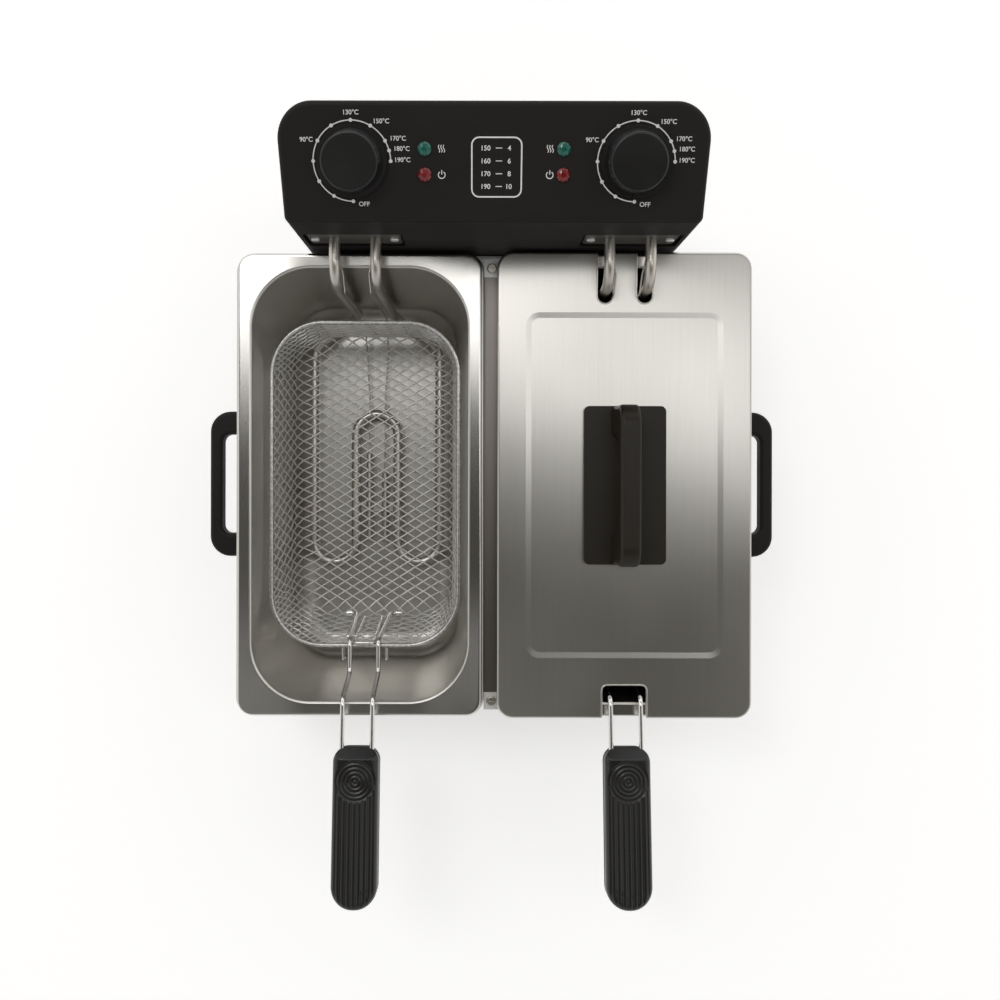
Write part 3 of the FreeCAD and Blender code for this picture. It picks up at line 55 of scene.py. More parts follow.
QUARTERS = ((1, 1), (-1, 1), (-1, -1), (1, -1))
TINY = 1e-9

# Camera
CAMERA_PLACE = (-8.0 * MM, 36.8 * MM, 842 * MM)
CAMERA_TURN = math.radians(0.11)
CAMERA_LENS = 35.0
CAMERA_SENSOR = 36.0
CAMERA_SHIFT = (0.0194, -0.0327)

# Tanks
SHEET = 1.0 * MM
RIM_CORNER = 11.0 * MM
RIM_EDGE = 1.8 * MM
RIM_SKIRT = 4.0 * MM
RIM_LAND = 10.2 * MM
RIM_DISH = 0.5 * MM
RIM_LAND_ENDS = (0.06, 0.94)
MOUTH_CORNER = 42.0 * MM
MOUTH_ROLL = 2.0 * MM
TANK_DRAFT = math.radians(5)
TANK_BOTTOM = 20.0 * MM
TANK_STEPS = 56
ROUND_STEPS = 8
RIM_ROWS = ROUND_STEPS + 4
TANK_SHARP = math.radians(60)

# Wire mesh of the baskets
NET_PITCH = (12.9 * MM, 8.0 * MM)
NET_WIRE = 0.65 * MM
NET_WAVE = 0.4 * MM
NET_SIDES = 6
NET_STRETCH = 1.5
BASKET_DRAFT = math.radians(4.5)
BASKET_LEAN = 6.0 * MM
BASKET_BOTTOM = 10.0 * MM
NET_CORNER = 38.0 * MM

# Print on the panel
PRINT_T = 0.06 * MM
PANEL_TILT = math.radians(18)
DIAL_X = 88.0 * MM
RING_R = 24.0 * MM
RING_LINE = 0.7 * MM
RING_ARC = (-90, -360, 72)
DOT_R = 1.15 * MM
DOT_SIDES = 24
DOT_LIFT = 0.6 * PRINT_T
DOT_TURNS = (0, 30, 60, 90, 120, 150, 180, 210, 240, 255, 270)
LABEL_SIZE = 3.9 * MM
LABEL_WEIGHT = 0.05 * MM
DIAL_LABELS = (("OFF", 6.8, -25.6), ("90°C", -27.7, 12.8), ("130°C", 0.4, 28.6), ("150°C", 19.0, 23.5),
               ("170°C", 29.0, 13.5), ("180°C", 31.2, 7.5), ("190°C", 31.5, 0.9))

# Chart between the dials: degrees and minutes
CHART_ROWS = (("150", "4"), ("160", "6"), ("170", "8"), ("190", "10"))
CHART_MIDDLE = (1.6 * MM, -3.55 * MM)
CHART_HALF = (15.4 * MM, 17.65 * MM)
CHART_CORNER = 4.5 * MM
CHART_CORNER_STEPS = 6
CHART_LINE = 0.9 * MM
CHART_PITCH = 7.6 * MM
CHART_SIZE = 4.2 * MM
CHART_COLUMNS = (-6.6 * MM, 7.8 * MM)
CHART_DASH = (-0.6 * MM, 3.4 * MM)
CHART_DASH_LINE = 0.5 * MM

# Heat and power marks beside the lamps
MARK_X = (-32.5 * MM, 34.6 * MM)
HEAT_SHIFTS = (-1.5 * MM, 0.0, 1.5 * MM)
HEAT_SWAY = 0.45 * MM
HEAT_FOOT = 5.2 * MM
HEAT_RISE = 4.4 * MM
HEAT_STEPS = 8
HEAT_LINE = 0.5 * MM
POWER_Y = -8.1 * MM
POWER_R = 2.1 * MM
POWER_ARC = (125, 415, 24)
POWER_STROKE = (-7.8 * MM, -5.2 * MM)
POWER_LINE = 0.55 * MM

# Lamps: share of the radius, and share of the dome's height, of each ring of facets
LAMP_R = 4.3 * MM
LAMP_DOME = 2.6 * MM
LAMP_SHANK = 16.0 * MM
LAMP_FACETS = 10
LAMP_RINGS = ((1.0, 0.0), (1.0, 0.35), (0.72, 0.75), (0.38, 1.0))

# Grips
GRIP_SLOPE = math.radians(7)
GRIP_HALF = 16.0 * MM
GRIP_L = 108.0 * MM
GRIP_H = 8.5 * MM
GRIP_EDGE = 5.0 * MM
GRIP_CROWN = 0.8 * MM
GRIP_HEAD_R = 10.0 * MM
GRIP_END_R = 15.5 * MM
GRIP_CUT = 0.95
GRIP_FOOT = 0.4 * MM
RIB_PITCH = 3.6 * MM
RIB_DEPTH = 0.8 * MM
STAMP_AT = 22.5 * MM
STAMP_R = 14.1 * MM
STAMP_PITCH = 2.82 * MM
STAMP_DEPTH = 0.5 * MM
STAMP_SINK = 0.35 * MM
GRIP_ROWS = 200
GRIP_COLUMNS = 72
GRIP_SHARP = math.radians(50)

# Hems of the lid's openings, from the lid's middle
HEM_R = 0.7 * MM
HEM_SINK = 0.25 * MM
HEM_SIDES = 12
SLOT_X = 14.0 * MM
SLOT_HALF = 5.7 * MM
SLOT_FRONT = 128.7 * MM
SLOT_STEPS = 16
NOTCH_HALF = 16.0 * MM
NOTCH_BACK = 141.5 * MM
NOTCH_CORNER = 4.0 * MM
NOTCH_STEPS = 8

# Sheet steel: dark and pale colour, roughness, grain, pull of the brush lines
SHEETS = {
    "lid_steel": ((0.56, 0.545, 0.51), (0.64, 0.625, 0.59), 0.31, (1500, 14, 1500), 0.7),
    "tank_steel": ((0.60, 0.585, 0.55), (0.66, 0.645, 0.61), 0.31, (900, 20, 60), 0.2),
    "rim_steel": ((0.60, 0.585, 0.55), (0.66, 0.645, 0.61), 0.2, (900, 20, 900), 0.3),
    "housing_steel": ((0.54, 0.525, 0.50), (0.62, 0.605, 0.58), 0.31, (1200, 14, 1200), 0.4),
    # Housing steel made much darker for the joining strip: painted shade where the strip sits recessed between the
    # housings
    "strip_steel_painted_shade": ((0.2, 0.18, 0.16), (0.26, 0.235, 0.215), 0.4, (1200, 14, 1200), 0.4),
}
SHEET_LAY = (1.0, 0.0, 0.0)
SHEET_STRAY = 0.03

# Plated and polished metal: dark and pale colour, roughness, grain, size of clouds, share of metal
METALS = {
    "zinc": ((0.86, 0.86, 0.86), (0.95, 0.95, 0.94), 0.55, 500, 30.0, 1.0),
    "element_steel": ((0.5, 0.47, 0.42), (0.66, 0.63, 0.58), 0.33, 300, 30.0, 1.0),
    "wire": ((0.86, 0.85, 0.83), (0.94, 0.93, 0.91), 0.32, 400, 30.0, 0.55),
    # Basket rim wire: colour swings from dark to near white in small patches, painted dark reflections and white
    # highlights of the shiny wire
    "rim_wire_painted_glints": ((0.2, 0.19, 0.18), (0.95, 0.94, 0.92), 0.32, 400, 450.0, 1.0),
    "handle_chrome": ((0.7, 0.69, 0.67), (0.84, 0.83, 0.81), 0.17, 300, 30.0, 1.0),
    "spindle_metal": ((0.6, 0.5, 0.28), (0.72, 0.62, 0.36), 0.33, 600, 30.0, 1.0),
}
METAL_STRAY = 0.04

# Moulded and painted skins: dark and pale colour, roughness, grain, relief, shine
SKINS = {
    "plate_steel": ((0.05, 0.047, 0.042), (0.09, 0.085, 0.076), 0.4, 2500.0, 0.05, 0.5),
    "black_plastic": ((0.0145, 0.012, 0.0118), (0.02, 0.0172, 0.0168), 0.5, 2200.0, 0.1, 0.15),
    "handle_brown": ((0.0125, 0.0095, 0.0062), (0.018, 0.0138, 0.009), 0.4, 2400.0, 0.05, 0.3),
    "grip_black": ((0.0075, 0.0072, 0.007), (0.012, 0.0115, 0.011), 0.28, 2600.0, 0.03, 0.5),
    "knob_plastic": ((0.007, 0.0066, 0.0066), (0.011, 0.0105, 0.0105), 0.3, 2600.0, 0.05, 0.5),
    "base_plastic": ((0.02, 0.02, 0.021), (0.03, 0.03, 0.032), 0.55, 1500.0, 0.2, 0.5),
    "gland_plastic": ((0.02, 0.02, 0.02), (0.035, 0.035, 0.035), 0.5, 1800.0, 0.15, 0.5),
    "rubber": ((0.018, 0.018, 0.018), (0.03, 0.03, 0.03), 0.7, 1200.0, 0.25, 0.5),
    "button_red": ((0.42, 0.03, 0.025), (0.55, 0.05, 0.04), 0.4, 2000.0, 0.1, 0.5),
    "inner_plastic": ((0.66, 0.63, 0.55), (0.76, 0.73, 0.65), 0.5, 1500.0, 0.1, 0.5),
    "lead": ((0.36, 0.08, 0.07), (0.46, 0.12, 0.1), 0.5, 1500.0, 0.1, 0.5),
    "print_white": ((0.78, 0.78, 0.77), (0.86, 0.86, 0.85), 0.5, 3000.0, 0.05, 0.5),
}
SKIN_STRAY = 0.05

# Lenses: dark and pale colour, glow
LENSES = {
    "green_lens": ((0.003, 0.05, 0.036), (0.008, 0.15, 0.11), 0.08),
    "red_lens": ((0.08, 0.003, 0.004), (0.24, 0.007, 0.009), 0.06),
}
LENS_GRAIN = 700.0
LENS_ROUGH = (0.08, 0.16)

# Solids with a finish other than their slot's; the joining strip's is its slot's steel made darker, which is
# painted shade
# The basket rims' finish carries painted dark reflections and white highlights
OWN_FINISH = {"joining_strip": "strip_steel_painted_shade", "left_basket_rim": "rim_wire_painted_glints", "right_basket_rim": "rim_wire_painted_glints",
              "left_handle_wire": "handle_chrome", "right_handle_wire": "handle_chrome",
              "left_basket_bracket": "handle_chrome", "right_basket_bracket": "handle_chrome",
              "lid_handle": "handle_brown", "tie_screws": "element_steel"}

# Light
FLOOR_SIZE = 6.0
FLOOR_DROP = 0.2 * MM
FLOOR_COLOUR = (0.92, 0.92, 0.92, 1)
FLOOR_ROUGH = 0.9
FLOOR_GLOW = 0.41
SKY_COLOURS = ((0.0, (0.9, 0.9, 0.9)), (0.5, (0.9, 0.9, 0.9)), (0.7, (0.6, 0.58, 0.55)),
               (0.86, (0.08, 0.075, 0.064)), (1.0, (0.045, 0.042, 0.035)))
SKY_LEAN = 0.35
KEY_PLACE = (0.0, 0.45, 2.0)
KEY_YAW = math.radians(-17.0)
KEY_SIZE = (2.6, 0.5)
KEY_POWER = 7.0
SIDE_PLACE = (-0.55, 0.7, 1.95)
SIDE_AIM = (-0.1, 0.0, 0.1)
SIDE_SIZE = (0.45, 0.45)
SIDE_POWER = 3.0
FRONT_PLACE = (-0.5, -0.6, 2.0)
FRONT_SIZE = (0.9, 0.5)
FRONT_POWER = 0.3


# Small steps for node trees

def new_group(name, inputs, outputs):
    """A shader group with named inputs and outputs."""
    tree = bpy.data.node_groups.new(name, "ShaderNodeTree")
    for label, kind, value in inputs:
        socket = tree.interface.new_socket(label, in_out="INPUT", socket_type="NodeSocket" + kind)
        socket.default_value = value
    for label, kind in outputs:
        tree.interface.new_socket(label, in_out="OUTPUT", socket_type="NodeSocket" + kind)
    return tree, tree.nodes.new("NodeGroupInput"), tree.nodes.new("NodeGroupOutput")


def noise(tree, vector, scale, detail, rough):
    """A noise texture that reads the given vector."""
    node = tree.nodes.new("ShaderNodeTexNoise")
    node.inputs["Scale"].default_value = scale
    node.inputs["Detail"].default_value = detail
    node.inputs["Roughness"].default_value = rough
    tree.links.new(vector, node.inputs["Vector"])
    return node.outputs["Fac"]


def brushed_group():
    """Fine lines of a brushed sheet, and slow clouds over it."""
    tree, start, end = new_group("brushed_sheet", [("Grain", "Vector", (900, 12, 900)),
                                                   ("Cloud size", "Float", 9.0)],
                                 [("Streak", "Float"), ("Cloud", "Float")])
    place = tree.nodes.new("ShaderNodeTexCoord").outputs["Object"]
    stretch = tree.nodes.new("ShaderNodeVectorMath")
    stretch.operation = "MULTIPLY"
    tree.links.new(place, stretch.inputs[0])
    tree.links.new(start.outputs["Grain"], stretch.inputs[1])
    streak = noise(tree, stretch.outputs[0], scale=1.0, detail=3.0, rough=0.6)
    cloud = tree.nodes.new("ShaderNodeTexNoise")
    cloud.inputs["Detail"].default_value = 2.0
    tree.links.new(place, cloud.inputs["Vector"])
    tree.links.new(start.outputs["Cloud size"], cloud.inputs["Scale"])
    tree.links.new(streak, end.inputs["Streak"])
    tree.links.new(cloud.outputs["Fac"], end.inputs["Cloud"])
    return tree


def moulded_group():
    """Fine spark-eroded grain of a moulded skin, and slow gloss changes."""
    tree, start, end = new_group("moulded_skin", [("Grain size", "Float", 1800.0)],
                                 [("Grain", "Float"), ("Gloss", "Float")])
    place = tree.nodes.new("ShaderNodeTexCoord").outputs["Object"]
    cells = tree.nodes.new("ShaderNodeTexVoronoi")
    cells.feature = "SMOOTH_F1"
    tree.links.new(place, cells.inputs["Vector"])
    tree.links.new(start.outputs["Grain size"], cells.inputs["Scale"])
    slow = noise(tree, place, scale=22.0, detail=3.0, rough=0.6)
    tree.links.new(cells.outputs["Distance"], end.inputs["Grain"])
    tree.links.new(slow, end.inputs["Gloss"])
    return tree


class Finish:
    """One material, and the steps that build it."""

    def __init__(self, name):
        self.material = bpy.data.materials.new(name)
        self.material.use_nodes = True
        self.tree = self.material.node_tree
        self.shader = self.tree.nodes["Principled BSDF"]

    def put(self, **values):
        """Sets sockets that are the same all over."""
        for label, value in values.items():
            self.shader.inputs[label.replace("_", " ")].default_value = value

    def group(self, tree, **values):
        """Places a shared group with its own values."""
        node = self.tree.nodes.new("ShaderNodeGroup")
        node.node_tree = tree
        for label, value in values.items():
            node.inputs[label.replace("_", " ")].default_value = value
        return node.outputs

    def colour(self, mask, dark, pale):
        """Colour that changes with a mask."""
        mix = self.tree.nodes.new("ShaderNodeMix")
        mix.data_type = "RGBA"
        mix.inputs["A"].default_value = (*dark, 1)
        mix.inputs["B"].default_value = (*pale, 1)
        self.tree.links.new(mask, mix.inputs["Factor"])
        self.tree.links.new(mix.outputs["Result"], self.shader.inputs["Base Color"])

    def rough(self, mask, low, high):
        """Roughness that changes with the middle half of a mask."""
        span = self.tree.nodes.new("ShaderNodeMapRange")
        span.inputs["From Min"].default_value = 0.25
        span.inputs["From Max"].default_value = 0.75
        span.inputs["To Min"].default_value = low
        span.inputs["To Max"].default_value = high
        self.tree.links.new(mask, span.inputs["Value"])
        self.tree.links.new(span.outputs["Result"], self.shader.inputs["Roughness"])

    def bump(self, height, strength, distance):
        """Fine relief."""
        node = self.tree.nodes.new("ShaderNodeBump")
        node.inputs["Strength"].default_value = strength
        node.inputs["Distance"].default_value = distance
        self.tree.links.new(height, node.inputs["Height"])
        self.tree.links.new(node.outputs["Normal"], self.shader.inputs["Normal"])

    def lay(self, direction):
        """Direction across the brush lines."""
        node = self.tree.nodes.new("ShaderNodeCombineXYZ")
        for socket, value in zip(node.inputs, direction):
            socket.default_value = value
        self.tree.links.new(node.outputs["Vector"], self.shader.inputs["Tangent"])


def sheet_steel(name, marks_group, dark, pale, rough, grain, pull):
    """Sheet steel with brush lines."""
    finish = Finish(name)
    finish.put(Metallic=1.0, Anisotropic=pull)
    marks = finish.group(marks_group, Grain=grain)
    finish.colour(marks["Streak"], dark, pale)
    finish.rough(marks["Cloud"], rough - SHEET_STRAY, rough + SHEET_STRAY)
    finish.bump(marks["Streak"], strength=0.02, distance=0.01 * MM)
    finish.lay(SHEET_LAY)
    return finish.material


def bright_metal(name, marks_group, dark, pale, rough, grain, cloud, metal):
    """Plated or polished metal without a brush direction."""
    finish = Finish(name)
    finish.put(Metallic=metal)
    marks = finish.group(marks_group, Grain=(grain, grain, grain), Cloud_size=cloud)
    finish.colour(marks["Cloud"], dark, pale)
    finish.rough(marks["Streak"], rough - METAL_STRAY, rough + METAL_STRAY)
    finish.bump(marks["Streak"], strength=0.03, distance=0.02 * MM)
    return finish.material


def moulded_skin(name, marks_group, dark, pale, rough, grain, relief, shine):
    """Moulded plastic, rubber or paint with a fine skin."""
    finish = Finish(name)
    finish.put(Specular_IOR_Level=shine)
    marks = finish.group(marks_group, Grain_size=grain)
    finish.colour(marks["Gloss"], dark, pale)
    finish.rough(marks["Gloss"], rough - SKIN_STRAY, rough + SKIN_STRAY)
    finish.bump(marks["Grain"], strength=relief, distance=0.05 * MM)
    return finish.material


def lens(name, marks_group, dark, pale, glow):
    """Clear coloured lens with a little light in it."""
    finish = Finish(name)
    finish.put(IOR=1.5, Coat_Weight=0.3, Coat_Roughness=0.03)
    finish.put(Emission_Strength=glow, Emission_Color=(*pale, 1))
    marks = finish.group(marks_group, Grain_size=LENS_GRAIN)
    finish.colour(marks["Grain"], dark, pale)
    finish.rough(marks["Gloss"], *LENS_ROUGH)
    return finish.material


def make_materials():
    """Every finish, by its name."""
    sheet_marks, skin_marks = brushed_group(), moulded_group()
    made = {name: sheet_steel(name, sheet_marks, *values) for name, values in SHEETS.items()}
    made |= {name: bright_metal(name, sheet_marks, *values) for name, values in METALS.items()}
    made |= {name: moulded_skin(name, skin_marks, *values) for name, values in SKINS.items()}
    made |= {name: lens(name, skin_marks, *values) for name, values in LENSES.items()}
    return made


# Small steps for meshes

def finished(name, mesh, body, nodes=()):
    """Puts a mesh in the scene, on its body, in place of CAD nodes if any are named."""
    piece = bpy.data.objects.new(name, mesh)
    bpy.context.scene.collection.objects.link(piece)
    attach(piece, body)
    if nodes:
        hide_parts(*nodes)
    return piece


def painted(mesh, material):
    """The mesh with one material."""
    mesh.materials.clear()
    mesh.materials.append(material)
    return mesh


def smoothed(mesh, angle):
    """Smooth shading, with edges past the angle kept sharp."""
    mesh.shade_smooth()
    mesh.set_sharp_from_angle(angle=angle)
    return mesh


def outline(half, corner, steps):
    """Points of a rounded rectangle round the origin, counter-clockwise."""
    points = []
    for index, (sx, sy) in enumerate(QUARTERS):
        centre = (sx * (half[0] - corner), sy * (half[1] - corner))
        for step in range(steps + 1):
            angle = math.pi / 2 * (index + step / steps)
            points.append((centre[0] + corner * math.cos(angle), centre[1] + corner * math.sin(angle)))
    return points


def ray_reach(hub, ray, half, corner):
    """How far a ray from the hub runs to a rounded rectangle, in its first quarter."""
    core = (half[0] - corner, half[1] - corner)
    reach = min((half[k] - hub[k]) / max(ray[k], TINY) for k in (0, 1))
    if min(hub[k] + reach * ray[k] - core[k] for k in (0, 1)) <= 0:
        return reach
    away = (hub[0] - core[0], hub[1] - core[1])
    along = away[0] * ray[0] + away[1] * ray[1]
    return math.sqrt(along ** 2 + corner ** 2 - away[0] ** 2 - away[1] ** 2) - along


def outline_from(hub, half, corner, steps):
    """Points of a rounded rectangle, on rays from the hubs of another one's corners."""
    points = []
    for index, (sx, sy) in enumerate(QUARTERS):
        for step in range(steps + 1):
            angle = math.pi / 2 * (index + step / steps)
            ray = (abs(math.cos(angle)), abs(math.sin(angle)))
            reach = ray_reach(hub, ray, half, corner)
            points.append((sx * (hub[0] + reach * ray[0]), sy * (hub[1] + reach * ray[1])))
    return points


def inset(half, corner, by):
    """Half sizes and corner of an outline drawn inwards."""
    return (half[0] - by, half[1] - by), corner - by


def arc(centre, radius, start, end, steps):
    """Points of a flat arc; angles in degrees, anticlockwise from +X."""
    points = []
    for step in range(steps + 1):
        angle = math.radians(start + (end - start) * step / steps)
        points.append((centre[0] + radius * math.cos(angle), centre[1] + radius * math.sin(angle)))
    return points


def chained(lines):
    """Points and edges of separate chains."""
    points, edges = [], []
    for line in lines:
        first = len(points)
        points += line
        edges += [(first + index, first + index + 1) for index in range(len(line) - 1)]
    return points, edges


def lofted(name, rings):
    """Skin through rings of equally many points; the last ring is closed with a face."""
    mesh = bpy.data.meshes.new(name)
    count = len(rings[0])
    points = [point for ring in rings for point in ring]
    faces = []
    for row in range(len(rings) - 1):
        for index in range(count):
            after = (index + 1) % count
            low = row * count
            faces.append((low + index, low + after, low + count + after, low + count + index))
    last = (len(rings) - 1) * count
    faces.append(tuple(last + index for index in range(count)))
    mesh.from_pydata(points, [], faces)
    mesh.validate()
    return mesh


# Geometry trees

def new_tree(name, sizes):
    """A geometry tree with named sizes."""
    tree = bpy.data.node_groups.new(name, "GeometryNodeTree")
    tree.interface.new_socket("Geometry", in_out="INPUT", socket_type="NodeSocketGeometry")
    for label, kind in sizes:
        tree.interface.new_socket(label, in_out="INPUT", socket_type="NodeSocket" + kind)
    tree.interface.new_socket("Geometry", in_out="OUTPUT", socket_type="NodeSocketGeometry")
    return tree, tree.nodes.new("NodeGroupInput"), tree.nodes.new("NodeGroupOutput")


def end_tree(tree, shape, start, end):
    """Closes a tree: instances made real, smooth, with the material given."""
    real = tree.nodes.new("GeometryNodeRealizeInstances")
    smooth = tree.nodes.new("GeometryNodeSetShadeSmooth")
    paint = tree.nodes.new("GeometryNodeSetMaterial")
    tree.links.new(shape, real.inputs[0])
    tree.links.new(real.outputs[0], smooth.inputs[0])
    tree.links.new(smooth.outputs[0], paint.inputs["Geometry"])
    tree.links.new(start.outputs["Material"], paint.inputs["Material"])
    tree.links.new(paint.outputs[0], end.inputs[0])


def wire_tree():
    """Round wire along every chain of edges."""
    tree, start, end = new_tree("wires_on_lines", [("Radius", "Float"), ("Sides", "Int"),
                                                   ("Material", "Material")])
    line = tree.nodes.new("GeometryNodeMeshToCurve")
    circle = tree.nodes.new("GeometryNodeCurvePrimitiveCircle")
    sweep = tree.nodes.new("GeometryNodeCurveToMesh")
    sweep.inputs["Fill Caps"].default_value = True
    tree.links.new(start.outputs["Geometry"], line.inputs[0])
    tree.links.new(start.outputs["Radius"], circle.inputs["Radius"])
    tree.links.new(start.outputs["Sides"], circle.inputs["Resolution"])
    tree.links.new(line.outputs[0], sweep.inputs["Curve"])
    tree.links.new(circle.outputs[0], sweep.inputs["Profile Curve"])
    end_tree(tree, sweep.outputs[0], start, end)
    return tree


def dot_tree():
    """A flat round dot on every point."""
    tree, start, end = new_tree("dots_on_points", [("Radius", "Float"), ("Thickness", "Float"),
                                                   ("Sides", "Int"), ("Material", "Material")])
    dot = tree.nodes.new("GeometryNodeMeshCylinder")
    spread = tree.nodes.new("GeometryNodeInstanceOnPoints")
    tree.links.new(start.outputs["Radius"], dot.inputs["Radius"])
    tree.links.new(start.outputs["Thickness"], dot.inputs["Depth"])
    tree.links.new(start.outputs["Sides"], dot.inputs["Vertices"])
    tree.links.new(start.outputs["Geometry"], spread.inputs["Points"])
    tree.links.new(dot.outputs["Mesh"], spread.inputs["Instance"])
    end_tree(tree, spread.outputs[0], start, end)
    return tree


def grown(name, points, edges, tree, **sizes):
    """Plain mesh that a geometry tree makes from points and edges."""
    seed = bpy.data.meshes.new(name + "_seed")
    seed.from_pydata(points, edges, [])
    holder = bpy.data.objects.new(name + "_seed", seed)
    bpy.context.scene.collection.objects.link(holder)
    modifier = holder.modifiers.new("grow", "NODES")
    modifier.node_group = tree
    for item in tree.interface.items_tree:
        if item.in_out == "INPUT" and item.name in sizes:
            modifier[item.identifier] = sizes[item.name]
    view = bpy.context.evaluated_depsgraph_get()
    mesh = bpy.data.meshes.new_from_object(holder.evaluated_get(view), depsgraph=view)
    mesh.name = name
    bpy.data.objects.remove(holder)
    bpy.data.meshes.remove(seed)
    return mesh


# Tanks

def level(points, z):
    """Flat points at one height."""
    return [(x, y, z) for x, y in points]


def rim_rings(rim_half, mouth_half, top):
    """Rings of a tank's rim: skirt, rounded edge and dished land."""
    hub = (mouth_half[0] - MOUTH_CORNER, mouth_half[1] - MOUTH_CORNER)
    rings = [level(outline_from(hub, rim_half, RIM_CORNER, TANK_STEPS), top - RIM_SKIRT)]
    for step in range(ROUND_STEPS + 1):
        angle = math.pi / 2 * step / ROUND_STEPS
        half, corner = inset(rim_half, RIM_CORNER, RIM_EDGE * (1 - math.cos(angle)))
        z = top - RIM_EDGE * (1 - math.sin(angle))
        rings.append(level(outline_from(hub, half, corner, TANK_STEPS), z))
    outer = rings[-1]
    mouth = outline(*inset(mouth_half, MOUTH_CORNER, -MOUTH_ROLL), TANK_STEPS)
    inner = level(mouth, top - RIM_DISH)
    for share in RIM_LAND_ENDS:
        rings.append([tuple(Vector(a).lerp(Vector(b), share)) for a, b in zip(outer, inner)])
    return rings


def wall_rings(mouth_half, top, floor):
    """Rings of a tank's inside: rolled mouth, leaning wall and rounded bottom."""
    rings = []

    def ring(by, z):
        rings.append(level(outline(*inset(mouth_half, MOUTH_CORNER, by), TANK_STEPS), z))

    turn = math.pi / 2 - TANK_DRAFT
    for step in range(ROUND_STEPS + 1):
        angle = turn * step / ROUND_STEPS
        ring(MOUTH_ROLL * (math.sin(angle) - 1), top - MOUTH_ROLL * (1 - math.cos(angle)))
    roll_in = MOUTH_ROLL * (math.sin(turn) - 1)
    roll_z = top - MOUTH_ROLL * (1 - math.cos(turn))
    wall_z = floor + TANK_BOTTOM * (1 - math.sin(TANK_DRAFT))
    wall_in = roll_in + (roll_z - wall_z) * math.tan(TANK_DRAFT)
    for step in range(2 * ROUND_STEPS + 1):
        angle = TANK_DRAFT + turn * step / (2 * ROUND_STEPS)
        by = wall_in + TANK_BOTTOM * (math.cos(TANK_DRAFT) - math.cos(angle))
        ring(by, floor + TANK_BOTTOM * (1 - math.sin(angle)))
    return rings


def tank_rings(low, high):
    """Rings of a tank's skin from the rim's lower edge, over the rim, down to the floor."""
    centre = (low + high) / 2
    rim_half = ((high.x - low.x) / 2, (high.y - low.y) / 2)
    mouth_half = (rim_half[0] - RIM_LAND, rim_half[1] - RIM_LAND)
    rings = rim_rings(rim_half, mouth_half, high.z)
    rings += wall_rings(mouth_half, high.z - RIM_DISH, low.z + SHEET)
    return [[(centre.x + x, centre.y + y, z) for x, y, z in ring] for ring in rings]


def make_tanks(materials):
    """Smooth pressed tanks in place of the solids."""
    for side in SIDES:
        node = side + "_tank"
        rings = tank_rings(*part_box(node))
        mesh = lofted(node + "_skin", rings)
        painted(smoothed(mesh, TANK_SHARP), materials["tank_steel"])
        mesh.materials.append(materials["rim_steel"])
        for face in mesh.polygons[:RIM_ROWS * len(rings[0])]:
            face.material_index = 1
        piece = finished(side + "_tank_skin", mesh, "fryer_body", [node])
        wall = piece.modifiers.new("sheet", "SOLIDIFY")
        wall.thickness = SHEET
        wall.offset = -1


# Baskets

def basket_place(flat, floor_half, corner, floor_z, rim_z):
    """Point of the pressed basket for a point of the flat net, its normal, and how far up the wall it is."""
    core = [half - corner for half in floor_half]
    near = [max(-c, min(c, v)) for c, v in zip(core, flat)]
    away = Vector((flat.x - near[0], flat.y - near[1]))
    climb = away.length - corner
    if climb <= 0:
        return Vector((*flat, floor_z)), Vector((0, 0, 1)), climb
    climb *= NET_STRETCH
    out = away.normalized()
    angle = min(climb / BASKET_BOTTOM, math.pi / 2 - BASKET_DRAFT)
    rest = climb - angle * BASKET_BOTTOM
    reach = corner + BASKET_BOTTOM * math.sin(angle) + rest * math.cos(angle)
    rise = BASKET_BOTTOM * (1 - math.cos(angle)) + rest * math.sin(angle)
    shift = BASKET_LEAN * rise / (rim_z - floor_z)
    place = Vector((near[0] + out.x * reach, near[1] + out.y * reach - shift, floor_z + rise))
    normal = Vector((-out.x * math.sin(angle), -out.y * math.sin(angle), math.cos(angle)))
    return place, normal, climb


def wall_run(floor_z, rim_z):
    """Length of wire from the edge of the floor up to the rim."""
    rise = rim_z - floor_z - BASKET_BOTTOM * (1 - math.sin(BASKET_DRAFT))
    return rise / math.cos(BASKET_DRAFT) + BASKET_BOTTOM * (math.pi / 2 - BASKET_DRAFT)


def net_crossings(lean, start, reach):
    """Crossings of one wire in the flat net, each with the wave of the weave there."""
    crossings = []
    for i in range(-reach[0], reach[0] + 1):
        j = lean * (i - start)
        if abs(j) <= reach[1]:
            over = (i % 2 == 0) == (lean == 1)
            flat = Vector((i * NET_PITCH[0] / 2, j * NET_PITCH[1] / 2))
            crossings.append((flat, NET_WAVE if over else -NET_WAVE))
    return crossings


def net_wire(crossings, full, basket):
    """Points of one wire on the pressed basket, cut at the rim."""
    line, last = [], None
    for flat, wave in crossings:
        place, normal, climb = basket_place(flat, *basket)
        if last and (climb < full) != (last[1] < full):
            end = last[0].lerp(flat, (full - last[1]) / (climb - last[1]))
            line.append(basket_place(end, *basket)[0])
        if climb < full:
            line.append(place + normal * wave)
        last = (flat, climb)
    return line


def net_lines(floor_half, corner, floor_z, rim_z):
    """Chains of points for the two families of wires of one basket, round the basket's middle."""
    full = wall_run(floor_z, rim_z)
    reach = [int((half + full) / (pitch / 2)) + 1 for half, pitch in zip(floor_half, NET_PITCH)]
    basket = (floor_half, corner, floor_z, rim_z)
    lines = []
    for lean in (1, -1):
        for start in range(-sum(reach), sum(reach) + 1, 2):
            line = net_wire(net_crossings(lean, start, reach), full, basket)
            if len(line) > 1:
                lines.append(line)
    return lines


